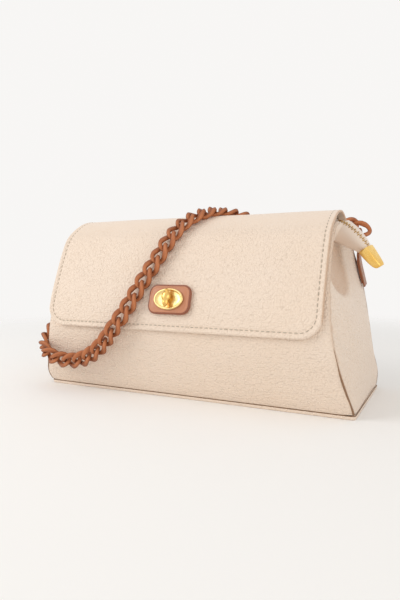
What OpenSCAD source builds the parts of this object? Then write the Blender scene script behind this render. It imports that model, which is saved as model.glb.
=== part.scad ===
// Shoulder bag with a front flap, a turn lock, a zipped mouth and a curb chain strap.
// Millimetres. X runs along the bag, the front faces -Y, and Z is up.
// The origin is the centre of the base, on the surface that the bag stands on.

/* [Body] */
// Width of the base
base_width = 290; // [265:1:330]
// Depth of the base
base_depth = 115; // [100:1:130]
// Height of the body up to the edges of its mouth
body_height = 148; // [132:1:165]
// Width of the body at its mouth
top_width = 252; // [236:1:260]
// Thickness of the outer leather
leather = 2; // [1.4:0.1:2.6]
// Thickness of the base leather
base_thick = 2.6; // [2:0.1:4]
// Thickness of the stiff board in the base
board_thick = 1.8; // [1:0.1:3]
// Thickness of the cloth lining
lining_thick = 0.8; // [0.5:0.1:1.5]
// How far the side gussets swell outwards
gusset_bulge = 5; // [2:0.5:8]

/* [Flap] */
// Width of the flap
flap_width = 248; // [230:1:252]
// Height of the flap's lower edge above the floor
flap_bottom = 61; // [50:1:75]
// Radius of the flap's lower corners
flap_corner = 17; // [8:1:24]
// Thickness of the flap's outer leather
flap_thick = 2.4; // [1.8:0.1:3]
// Thickness of the flap's inner leather
flap_lining_thick = 0.8; // [0.5:0.1:1.2]
// Length of the seam strip that holds the flap on the back
seam_strip = 14; // [8:1:20]

/* [Lock] */
// Height of the lock's centre above the floor
lock_height = 83; // [76:1:95]
// Width of the leather patch under the lock
patch_width = 38; // [34:1:44]
// Height of the leather patch
patch_height = 24; // [22:1:28]
// Thickness of the leather patch
patch_thick = 3; // [2:0.1:4]
// Corner radius of the leather patch
patch_corner = 7; // [4:0.5:10]
// Width of the oval plate
plate_width = 27; // [24:1:30]
// Height of the oval plate
plate_height = 18; // [16:1:20]
// Thickness of the oval plate
plate_thick = 1.6; // [1.2:0.1:2.4]
// Length of the turn knob
knob_length = 15; // [12:0.5:16]
// Width of the turn knob
knob_width = 6; // [5:0.5:7]
// Height of the turn knob above the plate
knob_height = 6; // [5:0.5:8]
// Radius of the spindle under the knob
spindle_r = 2; // [1.5:0.1:2.4]

/* [Zip] */
// How far the middle of the zip's teeth lies below the edges of the body's mouth
zip_drop = 3; // [2:0.5:19]
// Distance from one tooth to the next on one side
tooth_pitch = 4.4; // [3.8:0.1:6]
// Length of a tooth across the zip
tooth_length = 4.6; // [4:0.1:5.4]
// Thickness of a tooth
tooth_thick = 2.4; // [2:0.1:2.6]
// Thickness of the zip's cloth tape
tape_thick = 1; // [0.6:0.1:1.4]
// Length of the slider
slider_length = 12; // [9:0.5:15]
// Length of the puller
puller_length = 16; // [12:0.5:22]
// Thickness of the leather of the zip's tail
tail_thick = 1.6; // [1.2:0.1:2.2]
// Width of the tail's front side
tail_side = 12.5; // [9:0.5:14]
// Length of the metal cap on the tail
cap_length = 16; // [12:0.5:20]

/* [Chain strap] */
// Width of the chain across its flat side
chain_width = 14; // [13.6:0.1:14.6]
// Thickness of the wire of a link
link_wire = 3.6; // [3.3:0.1:3.8]
// Distance from one link to the next
link_pitch = 12.2; // [12:0.1:12.6]
// Thickness of the wire of an end ring
ring_wire = 3.2; // [2.8:0.1:3.4]
// Radius of an end ring to the middle of its wire
ring_r = 7.6; // [7.4:0.1:8.2]
// Width of the leather tab that holds a ring
tab_width = 12; // [8:0.5:14]
// Length of the leather tab
tab_length = 34; // [24:1:40]
// Thickness of the leather tab
tab_thick = 2.4; // [1.8:0.1:3]

/* [Hidden] */

$fn = 48;

// Clearance between pieces that are sewn or glued together
seam_gap = 0.2;
// Clearance between the flap and the body under it
flap_gap = 0.4;
// Clearance between pieces that move on each other
run_gap = 0.3;
// Clearance between the chain and what it lies on
chain_gap = 0.35;
// Play between one link of the chain and the next
link_play = 0.6;
// Ease of the lining inside the outer leather
lining_ease = 0.9;
// How far a cut runs past the faces it opens
overrun = 1;

// Outline of the front and back walls: height share, then depth share of half the base depth
front_shares = [
    [0, 1], [0.05, 1.06], [0.14, 1.13], [0.27, 1.205], [0.4, 1.235], [0.54, 1.17],
    [0.68, 1.045], [0.82, 0.9], [0.92, 0.76], [0.975, 0.6], [1, 0.42]
];
back_shares = [
    [0, 1], [0.05, 1.05], [0.14, 1.08], [0.3, 1.07], [0.46, 1], [0.62, 0.88],
    [0.74, 0.75], [0.85, 0.58], [0.93, 0.41], [0.98, 0.28], [1, 0.2]
];
// Side seams: height share, then share of the way from the mouth's width to the base's
front_seam_shares = [
    [0, 1], [0.03, 0.96], [0.13, 0.74], [0.22, 0.55], [0.34, 0.35], [0.43, 0.23],
    [0.55, 0.12], [0.65, 0.05], [0.8, 0], [1, 0]
];
back_seam_shares = [[0, 1], [0.1, 0.94], [0.33, 0.76], [0.66, 0.42], [0.85, 0.12], [1, 0]];
// Swelling of a gusset: height share, then share of the bulge
gusset_shares = [
    [0, 0], [0.1, 0.3], [0.3, 0.9], [0.5, 1], [0.65, 0.7], [0.76, 0.1], [0.85, -0.4],
    [1, -0.6]
];
// Height shares of the rows of points of the walls
row_shares = [
    0, 0.03, 0.07, 0.12, 0.19, 0.27, 0.34, 0.4, 0.46, 0.54, 0.62, 0.68, 0.75, 0.82, 0.87,
    0.92, 0.95, 0.975, 1
];
gusset_row_shares = [
    0, 0.067, 0.133, 0.211, 0.3, 0.4, 0.511, 0.622, 0.733, 0.833, 0.922, 1
];
// Height share at which the flap meets the seam strip
hinge_share = 0.9;
// Height shares at which the walls pass into the flap's crown
crown_front_share = 0.95;
crown_back_share = 0.93;
// Reach of the crown's handles as a share of the base depth
crown_reach_share = 0.26;
// Distances from the flap's lower edge of the rows in its round corners, shares of the radius
corner_row_shares = [0, 0.03, 0.12, 0.3, 0.6, 1];

body_rise = body_height - base_thick - seam_gap;
zip_height = body_height - zip_drop;
base_top = base_thick + seam_gap;
flap_total = flap_thick + flap_lining_thick + seam_gap;

// Value at t of a smooth curve through the rows of a table
function row_of(t, table, i = 0) =
    i >= len(table) - 2 || t < table[i + 1][0] ? i : row_of(t, table, i + 1);
function slope_of(table, i) =
    let(a = max(i - 1, 0), b = min(i + 1, len(table) - 1))
    (table[b][1] - table[a][1]) / (table[b][0] - table[a][0]);
function smooth(t, table) =
    let(
        i = row_of(t, table),
        step = table[i + 1][0] - table[i][0],
        u = (t - table[i][0]) / step,
        v = 1 - u
    )
    table[i][1] * (1 + 2 * u) * v * v + slope_of(table, i) * step * u * v * v
    + table[i + 1][1] * u * u * (3 - 2 * u) - slope_of(table, i + 1) * step * u * u * v;
function lerp(a, b, t) = a + (b - a) * t;
function unit(v) = v / norm(v);

// Walls in the YZ plane: face -1 is the front and 1 the back
function wall(face, s) = [
    face * base_depth / 2 * smooth(s, face < 0 ? front_shares : back_shares),
    base_top + s * body_rise
];
function wall_run(face, s) = unit(wall(face, min(s + 0.01, 1)) - wall(face, max(s - 0.01, 0)));
function wall_out(face, s) =
    let(run = wall_run(face, s))
    face < 0 ? [-run[1], run[0]] : [run[1], -run[0]];
function wall_at(face, s, off) = wall(face, s) + off * wall_out(face, s);
// Depth of the wall at one height, off inside its outer face
function depth_at(face, s, off) =
    let(run = wall_run(face, s))
    wall(face, s)[0] - face * off / run[1];
function seam_half(face, s) =
    lerp(top_width, base_width, smooth(s, face < 0 ? front_seam_shares : back_seam_shares)) / 2;
// Half width of the bag at height share s and share v of the way from front to back
function gusset_half(s, v) =
    lerp(seam_half(-1, s), seam_half(1, s), v)
    + gusset_bulge * smooth(s, gusset_shares) * sin(180 * v);
function height_share(z) = (z - base_top) / body_rise;

// Solid between rings of points, closed at both ends
module loft(rings) {
    n = len(rings[0]);
    m = len(rings);
    polyhedron(
        points = [for (ring = rings) each ring],
        faces = concat(
            [[for (i = [0:n - 1]) i]],
            [[for (i = [n - 1:-1:0]) (m - 1) * n + i]],
            side_faces(n, m, m - 1)
        )
    );
}

// Triangles of the skin between m rings of n points, the next ring after the last being the first
function side_faces(n, m, spans) = [
    for (k = [0:spans - 1], i = [0:n - 1], half = [0, 1])
    let(a = k * n + i, b = k * n + (i + 1) % n, c = (k + 1) % m * n)
    half == 0 ? [b, a, c + i] : [c + (i + 1) % n, b, c + i]
];

// Solid sheet between rings whose first half runs along its outside and whose second half back
module sheet(rings) {
    n = len(rings[0]);
    m = len(rings);
    end = (m - 1) * n;
    polyhedron(
        points = [for (ring = rings) each ring],
        faces = concat(
            [for (i = [0:n / 2 - 2]) [i, i + 1, n - 2 - i, n - 1 - i]],
            [for (i = [0:n / 2 - 2]) [end + n - 1 - i, end + n - 2 - i, end + i + 1, end + i]],
            side_faces(n, m, m - 1)
        )
    );
}

// Plate with round corners, centred, standing on Z = 0
module rounded_plate(width, depth, thick, radius) {
    linear_extrude(thick) {
        square([width - 2 * radius, depth], center = true);
        square([width, depth - 2 * radius], center = true);
        for (x = [-1, 1], y = [-1, 1])
            translate([x * (width / 2 - radius), y * (depth / 2 - radius)]) circle(radius);
    }
}

/* Base */

base_corner = 3;
base_lip = 1;

module base_panel() {
    color("#e2c9a8")
    rounded_plate(base_width + base_lip, base_depth + 2 * base_lip, base_thick, base_corner);
}

module base_board() {
    inset = leather + gusset_bulge / 2;
    color("#b89a78")
    translate([0, 0, base_top])
    rounded_plate(
        seam_half(-1, 0) * 2 - 2 * inset, base_depth - 2 * inset, board_thick, base_corner
    );
}

/* Outer walls */

module wall_panel(face) {
    loft([
        for (s = row_shares)
        let(
            outer = wall_at(face, s, 0),
            inner = wall_at(face, s, -leather),
            w = seam_half(face, s)
        )
        [
            [-w, face < 0 ? outer[0] : inner[0], face < 0 ? outer[1] : inner[1]],
            [w, face < 0 ? outer[0] : inner[0], face < 0 ? outer[1] : inner[1]],
            [w, face < 0 ? inner[0] : outer[0], face < 0 ? inner[1] : outer[1]],
            [-w, face < 0 ? inner[0] : outer[0], face < 0 ? inner[1] : outer[1]]
        ]
    ]);
}

module front_panel() {
    color("#efdcc3")
    difference() {
        wall_panel(-1);
        at_lock(-flap_total - flap_gap - catch_depth)
        cylinder(d = catch_width + 2 * run_gap, h = catch_depth + overrun);
    }
}

module back_panel() {
    color("#efdcc3") wall_panel(1);
}

gusset_steps = 8;
// The gussets end below the zip, so that its tail passes over them
gusset_drop = 11.5;
gusset_top = height_share(zip_height - gusset_drop);

// Row of points of a gusset from front to back, off inside its outer face
function gusset_row(s, off) = [
    for (i = [0:gusset_steps])
    let(
        v = i / gusset_steps,
        edge = leather + seam_gap
    )
    [
        gusset_half(s, v) - off,
        lerp(depth_at(-1, s, edge), depth_at(1, s, edge), v),
        base_top + s * body_rise
    ]
];
function reversed(list) = [for (i = [len(list) - 1:-1:0]) list[i]];

module gusset() {
    sheet([
        for (share = gusset_row_shares)
        let(s = share * gusset_top)
        concat(gusset_row(s, 0), reversed(gusset_row(s, leather)))
    ]);
}

module gusset_right() {
    color("#e6cba9") gusset();
}

module gusset_left() {
    color("#e6cba9") mirror([1, 0, 0]) gusset();
}

/* Lining and pocket */

lining_row_shares = [0.034, 0.08, 0.16, 0.25, 0.35, 0.48, 0.61, 0.75, 0.89, 1];
// The lining's upper edge lies below the gussets' tops
lining_drop = 3;
lining_top = height_share(zip_height - gusset_drop - lining_drop);
lining_rows = [for (share = lining_row_shares) share * lining_top];
lining_gap = leather + seam_gap + lining_ease;
lining_floor = height_share(base_top + board_thick + seam_gap);

// Closed ring of points round the inside of the bag
function lining_ring(s, off) =
    let(
        z = base_top + s * body_rise,
        front = depth_at(-1, s, off),
        back = depth_at(1, s, off),
        side = [
            for (i = [0:gusset_steps])
            [gusset_half(s, i / gusset_steps) - off, lerp(front, back, i / gusset_steps), z]
        ]
    )
    concat(side, [for (p = reversed(side)) [-p[0], p[1], p[2]]]);

module lining() {
    shares = concat([lining_floor], [for (s = lining_rows) if (s > lining_floor) s]);
    wall_off = lining_gap + lining_thick;
    top = shares[len(shares) - 1];
    color("#cdb79b")
    difference() {
        loft([for (s = shares) lining_ring(s, lining_gap)]);
        loft([
            for (s = concat(
                [lining_floor + lining_thick / body_rise],
                [for (s = lining_rows) if (s > lining_floor + lining_thick / body_rise) s]
            ))
            [
                for (p = lining_ring(s, wall_off))
                [p[0], p[1], s == top ? p[2] + overrun : p[2]]
            ]
        ]);
    }
}

pocket_width = 150;
pocket_rows = [0.3, 0.45, 0.6];

// Slip pocket sewn to the back of the lining
module inner_pocket() {
    off = lining_gap + lining_thick + 2 * seam_gap;
    color("#cdb79b")
    loft([
        for (s = pocket_rows)
        let(
            z = base_top + s * body_rise,
            near = depth_at(1, s, off + lining_thick),
            far = depth_at(1, s, off)
        )
        [
            [-pocket_width / 2, near, z], [pocket_width / 2, near, z],
            [pocket_width / 2, far, z], [-pocket_width / 2, far, z]
        ]
    ]);
}

/* Zip */

zip_share = height_share(zip_height + tape_thick / 2);
mouth_front = depth_at(-1, zip_share, leather + 2 * seam_gap);
mouth_back = depth_at(1, zip_share, leather + 2 * seam_gap);
zip_depth = (mouth_front + mouth_back) / 2;
zip_inset = 6;
zip_half = top_width / 2 - zip_inset;
tooth_width = tooth_pitch / 2 - 0.3;
tooth_overlap = 0.9;
tooth_count = floor(2 * zip_half / tooth_pitch);

module zip_tape(face) {
    edge = face < 0 ? mouth_front : mouth_back;
    inner = zip_depth + face * (tooth_length - tooth_overlap + seam_gap);
    translate([-zip_half, min(edge, inner), zip_height - tape_thick / 2])
    cube([2 * zip_half, abs(edge - inner), tape_thick]);
}

module zip_tape_front() {
    color("#eadbc4") zip_tape(-1);
}

module zip_tape_back() {
    color("#eadbc4") zip_tape(1);
}

module zip_teeth(face) {
    start = -zip_half + (face > 0 ? tooth_pitch / 2 : 0);
    side = zip_depth + (face < 0 ? tooth_overlap - tooth_length : -tooth_overlap);
    for (i = [0:tooth_count - 1])
        translate([start + i * tooth_pitch, side, zip_height - tooth_thick / 2])
        cube([tooth_width, tooth_length, tooth_thick]);
}

module zip_teeth_front() {
    color("#d9a53f") zip_teeth(-1);
}

module zip_teeth_back() {
    color("#d9a53f") zip_teeth(1);
}

stop_length = 3;

module zip_stop() {
    color("#d9a53f")
    translate([
        -zip_half - stop_length - seam_gap, zip_depth - tooth_length / 2,
        zip_height - tooth_thick / 2
    ])
    cube([stop_length, tooth_length, tooth_thick]);
}

slider_wall = 1.2;
slider_rest = -zip_half + slider_length / 2 + 2;
slider_half = tooth_length - tooth_overlap + slider_wall + run_gap;
slider_top = zip_height + tooth_thick / 2 + run_gap;
bridge_r = 2.2;
pin_r = 0.8;
pin_height = slider_top + slider_wall + bridge_r;

// Upper half of the slider: a plate with turned down sides and a bridge for the puller
module zip_slider() {
    color("#d9a53f")
    translate([slider_rest, zip_depth, 0]) {
        translate([-slider_length / 2, -slider_half, slider_top])
        cube([slider_length, 2 * slider_half, slider_wall]);
        for (side = [-1, 1])
            translate([
                -slider_length / 2,
                side > 0 ? slider_half - slider_wall : -slider_half,
                zip_height + tape_thick / 2 + run_gap
            ])
            cube([slider_length, slider_wall, slider_top - zip_height - tape_thick / 2]);
        for (side = [-1, 1])
            translate([-bridge_r, side * bridge_r - slider_wall / 2, slider_top])
            cube([2 * bridge_r, slider_wall, slider_wall + bridge_r]);
        translate([0, 0, pin_height])
        rotate([90, 0, 0]) cylinder(r = pin_r, h = 2 * bridge_r, center = true);
    }
}

puller_thick = 1.2;
puller_width = 6;

// The puller lies along the zip, its free end on the teeth, and turns on the slider's pin
module zip_puller() {
    eye_width = 2 * bridge_r - slider_wall - 2 * run_gap;
    drop = pin_height - zip_height - tooth_thick / 2 - puller_thick / 2 - run_gap;
    color("#d9a53f")
    translate([slider_rest, zip_depth, pin_height])
    rotate([0, asin(drop / puller_length), 0])
    difference() {
        union() {
            rotate([90, 0, 0]) cylinder(r = pin_r + puller_thick, h = eye_width, center = true);
            translate([0, -eye_width / 2, -puller_thick / 2])
            cube([slider_length / 2, eye_width, puller_thick]);
            translate([slider_length / 2 + puller_width / 2 - run_gap, 0, -puller_thick / 2]) {
                cylinder(d = puller_width, h = puller_thick);
                translate([0, -puller_width / 2, 0])
                cube([puller_length - slider_length / 2 - puller_width, puller_width, puller_thick]);
                translate([puller_length - slider_length / 2 - puller_width, 0, 0])
                cylinder(d = puller_width, h = puller_thick);
            }
        }
        rotate([90, 0, 0])
        cylinder(r = pin_r + run_gap / 2, h = eye_width + 2 * overrun, center = true);
    }
}

/* Zip tail */

// Line of the tail's ridge past the end of the zip: along X, then up from the zip
tail_line_shares = [
    [0, 0.05], [0.35, 0.36], [0.8, 0.38], [1.25, 0.02], [1.7, -0.5], [2.1, -1.12], [2.36, -1.55]
];
tail_unit_length = 12;
tail_start = zip_half + seam_gap;
// Width of the tail's sides along its line
tail_width_shares = [[0, 0.62], [1, 1], [2, 1.1], [3, 1.05], [4, 0.95], [5, 0.75], [6, 0.5]];

function tail_point(t) =
    let(i = min(floor(t), len(tail_line_shares) - 2), f = t - i)
    let(p = lerp(tail_line_shares[i], tail_line_shares[i + 1], f))
    [tail_start + p[0] * tail_unit_length, 0, zip_height + p[1] * tail_unit_length];
function tail_run(t) =
    unit(tail_point(min(t + 0.5, len(tail_line_shares) - 1)) - tail_point(max(t - 0.5, 0)));
function tail_up(t) = let(run = tail_run(t)) [-run[2], 0, run[0]];
function tail_place(t, across, up) =
    tail_point(t) + [0, zip_depth + across, 0] + up * tail_up(t);

// Slope of the tail's front and back sides below its ridge
tail_front_angle = 48;
tail_back_angle = 30;
tail_back_share = 0.7;
// Stretch of the tail over which its flat end folds to those slopes
tail_fold_share = 1.5;

// Bent strip of leather that covers the free end of the zip, high along its ridge
module zip_tail() {
    steps = 2 * (len(tail_line_shares) - 1);
    color("#efe2cf")
    loft([
        for (k = [0:steps])
        let(
            t = k / 2,
            w = tail_side * lookup(t, tail_width_shares),
            b = w * tail_back_share,
            slope = max(0.15, min(1, t / tail_fold_share)),
            front = [-w * cos(slope * tail_front_angle), -w * sin(slope * tail_front_angle)],
            back = [b * cos(slope * tail_back_angle), -b * sin(slope * tail_back_angle)]
        )
        [
            tail_place(t, front[0], front[1]),
            tail_place(t, front[0] + tail_thick / 2, front[1] - tail_thick),
            tail_place(t, 0, -tail_thick * (1 + slope)),
            tail_place(t, back[0] - tail_thick / 2, back[1] - tail_thick),
            tail_place(t, back[0], back[1]),
            tail_place(t, 0, 0)
        ]
    ]);
}

tail_teeth = 15;
tail_tooth_length = 1.7;

module zip_tail_teeth() {
    last = len(tail_line_shares) - 1.5;
    color("#d9a53f")
    for (i = [0:tail_teeth - 1]) {
        t = 0.9 + (last - 0.9) * i / (tail_teeth - 1);
        run = tail_run(t);
        translate(tail_place(t, (i % 2 - 0.5) * tail_tooth_length, seam_gap))
        rotate([0, -atan2(run[2], run[0]), 0])
        translate([-tail_tooth_length / 3, -tail_tooth_length, 0])
        cube([tail_tooth_length * 2 / 3, 2 * tail_tooth_length, tail_tooth_length * 2 / 3]);
    }
}

// Outline of the cap across the tail: shares of the tail's width at its end
cap_front_shares = [-0.95, -0.8];
cap_back_shares = [0.9, -0.5];
cap_under_share = -1.1;
cap_taper_share = 0.62;

module zip_end_cap() {
    last = len(tail_line_shares) - 1;
    run = tail_run(last);
    w = tail_side / 2;
    ring = [
        [cap_front_shares[0] * w, cap_front_shares[1] * w],
        [0, cap_under_share * w],
        [cap_back_shares[0] * w, cap_back_shares[1] * w],
        [0, tail_thick / 2]
    ];
    color("#e0ac45")
    loft([
        for (step = [[0, 0.92], [0.2, 1], [0.85, 0.78], [1, cap_taper_share]])
        [
            for (p = ring)
            tail_place(last, p[0] * step[1], p[1] * step[1])
            + (seam_gap + step[0] * cap_length) * run
        ]
    ]);
}

/* Flap */

// Smooth crown of the flap between the two walls
function crown_point(t) =
    let(
        a = wall_at(-1, crown_front_share, flap_gap),
        d = wall_at(1, crown_back_share, flap_gap),
        reach = base_depth * crown_reach_share,
        b = a + reach * wall_run(-1, crown_front_share),
        c = d + reach * wall_run(1, crown_back_share),
        u = 1 - t
    )
    u * u * u * a + 3 * u * u * t * b + 3 * u * t * t * c + t * t * t * d;
crown_steps = 9;
flap_low_share = height_share(flap_bottom);
corner_rise = flap_corner / body_rise;
flap_front_rows = concat(
    [for (c = corner_row_shares) flap_low_share + c * corner_rise],
    [for (s = row_shares) if (s > flap_low_share + corner_rise + 0.02 && s < crown_front_share) s]
);
flap_back_rows = [0.915, hinge_share];

// Line of the flap's inner face from its lower edge over the top to the seam on the back
flap_line = concat(
    [for (s = flap_front_rows) wall_at(-1, s, flap_gap)],
    [for (k = [0:crown_steps]) crown_point(k / crown_steps)],
    [for (s = flap_back_rows) wall_at(1, s, flap_gap)]
);
function line_run(line, i) =
    unit(line[min(i + 1, len(line) - 1)] - line[max(i - 1, 0)]);
function line_at(line, i, off) = let(run = line_run(line, i)) line[i] + off * [-run[1], run[0]];
function flap_half(i) =
    let(c = i < len(corner_row_shares) ? corner_row_shares[i] : 1)
    flap_width / 2 - flap_corner * (1 - sqrt(max(0, 1 - (1 - c) * (1 - c))));

module flap_layer(low, high) {
    loft([
        for (i = [0:len(flap_line) - 1])
        let(inner = line_at(flap_line, i, low), outer = line_at(flap_line, i, high), w = flap_half(i))
        [
            [-w, outer[0], outer[1]], [w, outer[0], outer[1]],
            [w, inner[0], inner[1]], [-w, inner[0], inner[1]]
        ]
    ]);
}

module flap() {
    color("#f0dfc8")
    difference() {
        flap_layer(flap_lining_thick + seam_gap, flap_total);
        at_lock(-flap_total) cylinder(r = spindle_r + run_gap, h = 2 * flap_total);
    }
}

module flap_lining() {
    color("#e3cdb0")
    difference() {
        flap_layer(0, flap_lining_thick);
        at_lock(-flap_total) cylinder(r = plate_height / 4 + run_gap, h = 2 * flap_total);
    }
}

// Strip of the flap that is sewn flat to the back
module flap_seam_strip() {
    low = hinge_share - seam_strip / body_rise;
    high = hinge_share - 2 * run_gap / body_rise;
    color("#f0dfc8")
    loft([
        for (k = [0:3])
        let(
            s = lerp(high, low, k / 3),
            inner = wall_at(1, s, seam_gap),
            outer = wall_at(1, s, flap_thick)
        )
        [
            [-flap_width / 2, outer[0], outer[1]], [flap_width / 2, outer[0], outer[1]],
            [flap_width / 2, inner[0], inner[1]], [-flap_width / 2, inner[0], inner[1]]
        ]
    ]);
}

/* Turning axis of the flap and of the strap's rings */

axis = wall_at(1, hinge_share, flap_gap + flap_total + run_gap);

/* Lock */

lock_share = height_share(lock_height);
lock_point = wall_at(-1, lock_share, flap_gap + flap_total);
lock_out = wall_out(-1, lock_share);
lock_tilt = atan2(lock_out[1], -lock_out[0]);

// Frame with its Z along the outward normal of the flap at the lock
module at_lock(out) {
    translate([0, lock_point[0], lock_point[1]])
    rotate([90 - lock_tilt, 0, 0])
    translate([0, 0, out])
    children();
}

patch_base = 0.5;
patch_bevel = 1.6;

module lock_patch() {
    color("#a65f3b")
    at_lock(patch_base)
    difference() {
        hull() {
            $fn = 32;
            rounded_plate(patch_width, patch_height, patch_thick / 2, patch_corner);
            rounded_plate(
                patch_width - patch_bevel, patch_height - patch_bevel, patch_thick, patch_corner
            );
        }
        translate([0, 0, -overrun])
        cylinder(r = spindle_r + run_gap, h = patch_thick + 2 * overrun);
    }
}

plate_rim = 2;
plate_floor_share = 0.6;

// Oval plate with a raised rim and a hole for the spindle
module lock_plate() {
    color("#e6b850")
    at_lock(patch_base + patch_thick + seam_gap)
    difference() {
        scale([plate_width / plate_height, 1, 1]) cylinder(d = plate_height, h = plate_thick);
        translate([0, 0, plate_thick * plate_floor_share])
        scale([(plate_width - 2 * plate_rim) / (plate_height - 2 * plate_rim), 1, 1])
        cylinder(d = plate_height - 2 * plate_rim, h = plate_thick);
        translate([0, 0, -overrun])
        cylinder(r = spindle_r + run_gap / 2, h = plate_thick + 2 * overrun);
    }
}

back_plate_thick = 0.4;

// Washer behind the flap's leather that the spindle is held by
module lock_back_plate() {
    color("#c79a3d")
    at_lock(-flap_thick - 2 * seam_gap - back_plate_thick)
    difference() {
        cylinder(r = plate_height / 4, h = back_plate_thick);
        translate([0, 0, -overrun])
        cylinder(r = spindle_r + run_gap / 2, h = back_plate_thick + 2 * overrun);
    }
}

knob_ball_share = 0.68;

// Ball with a bar through it, on a spindle
module turn_knob() {
    top = patch_base + patch_thick + seam_gap + plate_thick + run_gap;
    shank = flap_thick + 2 * seam_gap + back_plate_thick;
    ball_r = knob_height * knob_ball_share;
    color("#e6b850")
    at_lock(0) {
        translate([0, 0, -shank])
        cylinder(r = spindle_r, h = top + knob_height / 3 + shank);
        translate([0, 0, top]) {
            intersection() {
                translate([0, 0, knob_height / 3]) sphere(ball_r);
                cylinder(r = knob_length, h = knob_height);
            }
            translate([-knob_width / 2, -(knob_length - knob_width) / 2, 0])
            cube([knob_width, knob_length - knob_width, knob_height / 2]);
            for (side = [-1, 1])
                translate([0, side * (knob_length - knob_width) / 2, 0])
                cylinder(d = knob_width, h = knob_height / 2);
        }
    }
}

catch_thick = 0.8;
catch_depth = 1.2;
catch_width = 14;

// Metal disc let into the front panel, that the lock closes on
module lock_catch() {
    color("#c79a3d")
    at_lock(-flap_total - flap_gap - catch_depth + seam_gap)
    cylinder(d = catch_width, h = catch_thick);
}

/* Rings and tabs */

ring_share = height_share(axis[1] - 2 * ring_r);
ring_half = gusset_half(ring_share, 0.8) + chain_width / 2 + run_gap;

module ring(wire) {
    translate([ring_half, axis[0], axis[1]])
    rotate([0, 90, 0])
    rotate_extrude() translate([ring_r, 0]) circle(d = wire);
}

module ring_right() {
    color("#a8623f") ring(ring_wire);
}

module ring_left() {
    color("#a8623f") mirror([1, 0, 0]) ring(ring_wire);
}

tab_rows = [0, 0.16, 0.32, 0.55, 0.78, 1];
tab_loop = 6.6;
// Angle by which the tab pulls behind straight down
tab_angle = 18;
// How far the tab's lower end lies behind its loop
tab_lean = 8;

module tab() {
    loop_r = ring_wire / 2 + tab_thick;
    loop_y = axis[0] + ring_r * sin(tab_angle);
    loop_z = axis[1] - ring_r * cos(tab_angle);
    color("#8a4327")
    difference() {
        union() {
            translate([ring_half, loop_y, loop_z])
            rotate([90 + tab_angle, 0, 0]) cylinder(r = loop_r, h = tab_loop, center = true);
            loft([
                for (q = tab_rows)
                let(
                    z = loop_z - q * tab_length,
                    y = loop_y + q * tab_lean,
                    s = height_share(z),
                    front = depth_at(-1, s, leather + seam_gap),
                    back = depth_at(1, s, leather + seam_gap),
                    w = lerp(tab_loop, tab_width, min(1, q * 3)),
                    seat = gusset_half(s, min(1, (y - front) / (back - front))) + run_gap,
                    out = max(seat, lerp(ring_half - tab_thick / 2, seat, min(1, q / tab_rows[2])))
                )
                [
                    [out, y + w / 2, z], [out + tab_thick, y + w / 2, z],
                    [out + tab_thick, y - w / 2, z], [out, y - w / 2, z]
                ]
            ]);
        }
        ring(ring_wire + 2 * run_gap);
    }
}

module tab_right() {
    tab();
}

module tab_left() {
    mirror([1, 0, 0]) tab();
}

/* Chain strap */

// Outer skin that the chain lies on, by height share on the front, then 1 to 2 over the crown
function cover(q) =
    let(k = min(1, max(0, (q - flap_low_share) / corner_rise + 1)))
    (flap_gap + flap_total) * k * k * (3 - 2 * k);
function skin_out(q) =
    q < 1 ? wall_out(-1, q)
    : let(run = unit(crown_point(min(q - 0.99, 1)) - crown_point(max(q - 1.01, 0))))
    [-run[1], run[0]];
function skin(q) = q < 1 ? wall_at(-1, q, cover(q)) : crown_point(q - 1) + flap_total * skin_out(q);

// Distance of the chain's middle line from what it lies on
chain_lift = link_wire / 2 + chain_width * 0.205 + chain_gap;
link_a = (link_pitch + link_wire + link_play) / 2 + link_play / 2;
link_b = (chain_width - link_wire) / 2;
link_power = 2.6;
link_twist = -58;
link_steps = 18;
link_sides = 6;

// Way of the chain past the left ring: offset from the ring as shares of the chain's width,
// then the way that the chain's flat side faces
ring_left_shares = [
    [[-0.14, -1.33, -1.17], [-0.67, 0.51, -0.54]],
    [[-0.3, -1.96, -1.86], [-0.81, 0.4, -0.43]]
];
// Along the left gusset: height share, depth share, distance off it as a share of the chain's
// width, then the way that the flat side faces
side_way_shares = [
    [0.652, 0.485, 0.43, [-0.91, 0.28, -0.3]],
    [0.566, 0.382, 0.46, [-0.98, 0.14, -0.15]],
    [0.487, 0.296, 0.54, [-1, 0, 0]],
    [0.411, 0.217, 0.6, [-1, 0, 0]],
    [0.342, 0.13, 0.58, [-1, -0.15, -0.05]],
    [0.291, 0.058, 0.52, [-0.95, -0.35, -0.05]],
    [0.251, -0.01, 0.17, [-0.78, -0.62, -0.1]],
    [0.22, -0.07, -0.38, [-0.45, -0.88, -0.15]]
];
// Across the front and over the crown: share of half the mouth's width, place on the skin,
// distance off it as a share of the chain's width, and the chain's roll in degrees
front_way_shares = [
    [-0.984, 0.206, 0.4, 0], [-0.889, 0.188, 0.36, 0], [-0.786, 0.182, 0.32, 0],
    [-0.675, 0.203, 0.31, 0], [-0.57, 0.25, 0.28, 0], [-0.48, 0.315, 0.2, 0],
    [-0.405, 0.38, 0.1, 0], [-0.345, 0.442, 0.05, 0], [-0.294, 0.507, 0.01, 0],
    [-0.254, 0.573, 0, 0], [-0.215, 0.64, 0, 0], [-0.175, 0.705, 0, 0], [-0.137, 0.77, 0, 0],
    [-0.1, 0.838, 0, 0], [-0.061, 0.9, 0, 0], [-0.018, 1.03, 0, 0], [0.025, 1.17, 0, 0],
    [0.08, 1.32, 0, 0], [0.16, 1.48, 0.01, 0], [0.27, 1.62, 0.01, 0], [0.39, 1.73, 0.01, 0],
    [0.52, 1.79, 0.03, 0], [0.65, 1.81, 0.08, 0], [0.78, 1.815, 0.12, 0]
];
// Way of the chain to the right ring
ring_right_shares = [
    [[-1.75, -0.84, 1.39], [0.1, 0.58, 0.8]],
    [[-0.9, -0.6, 1.18], [0.22, 0.61, 0.76]]
];

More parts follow.
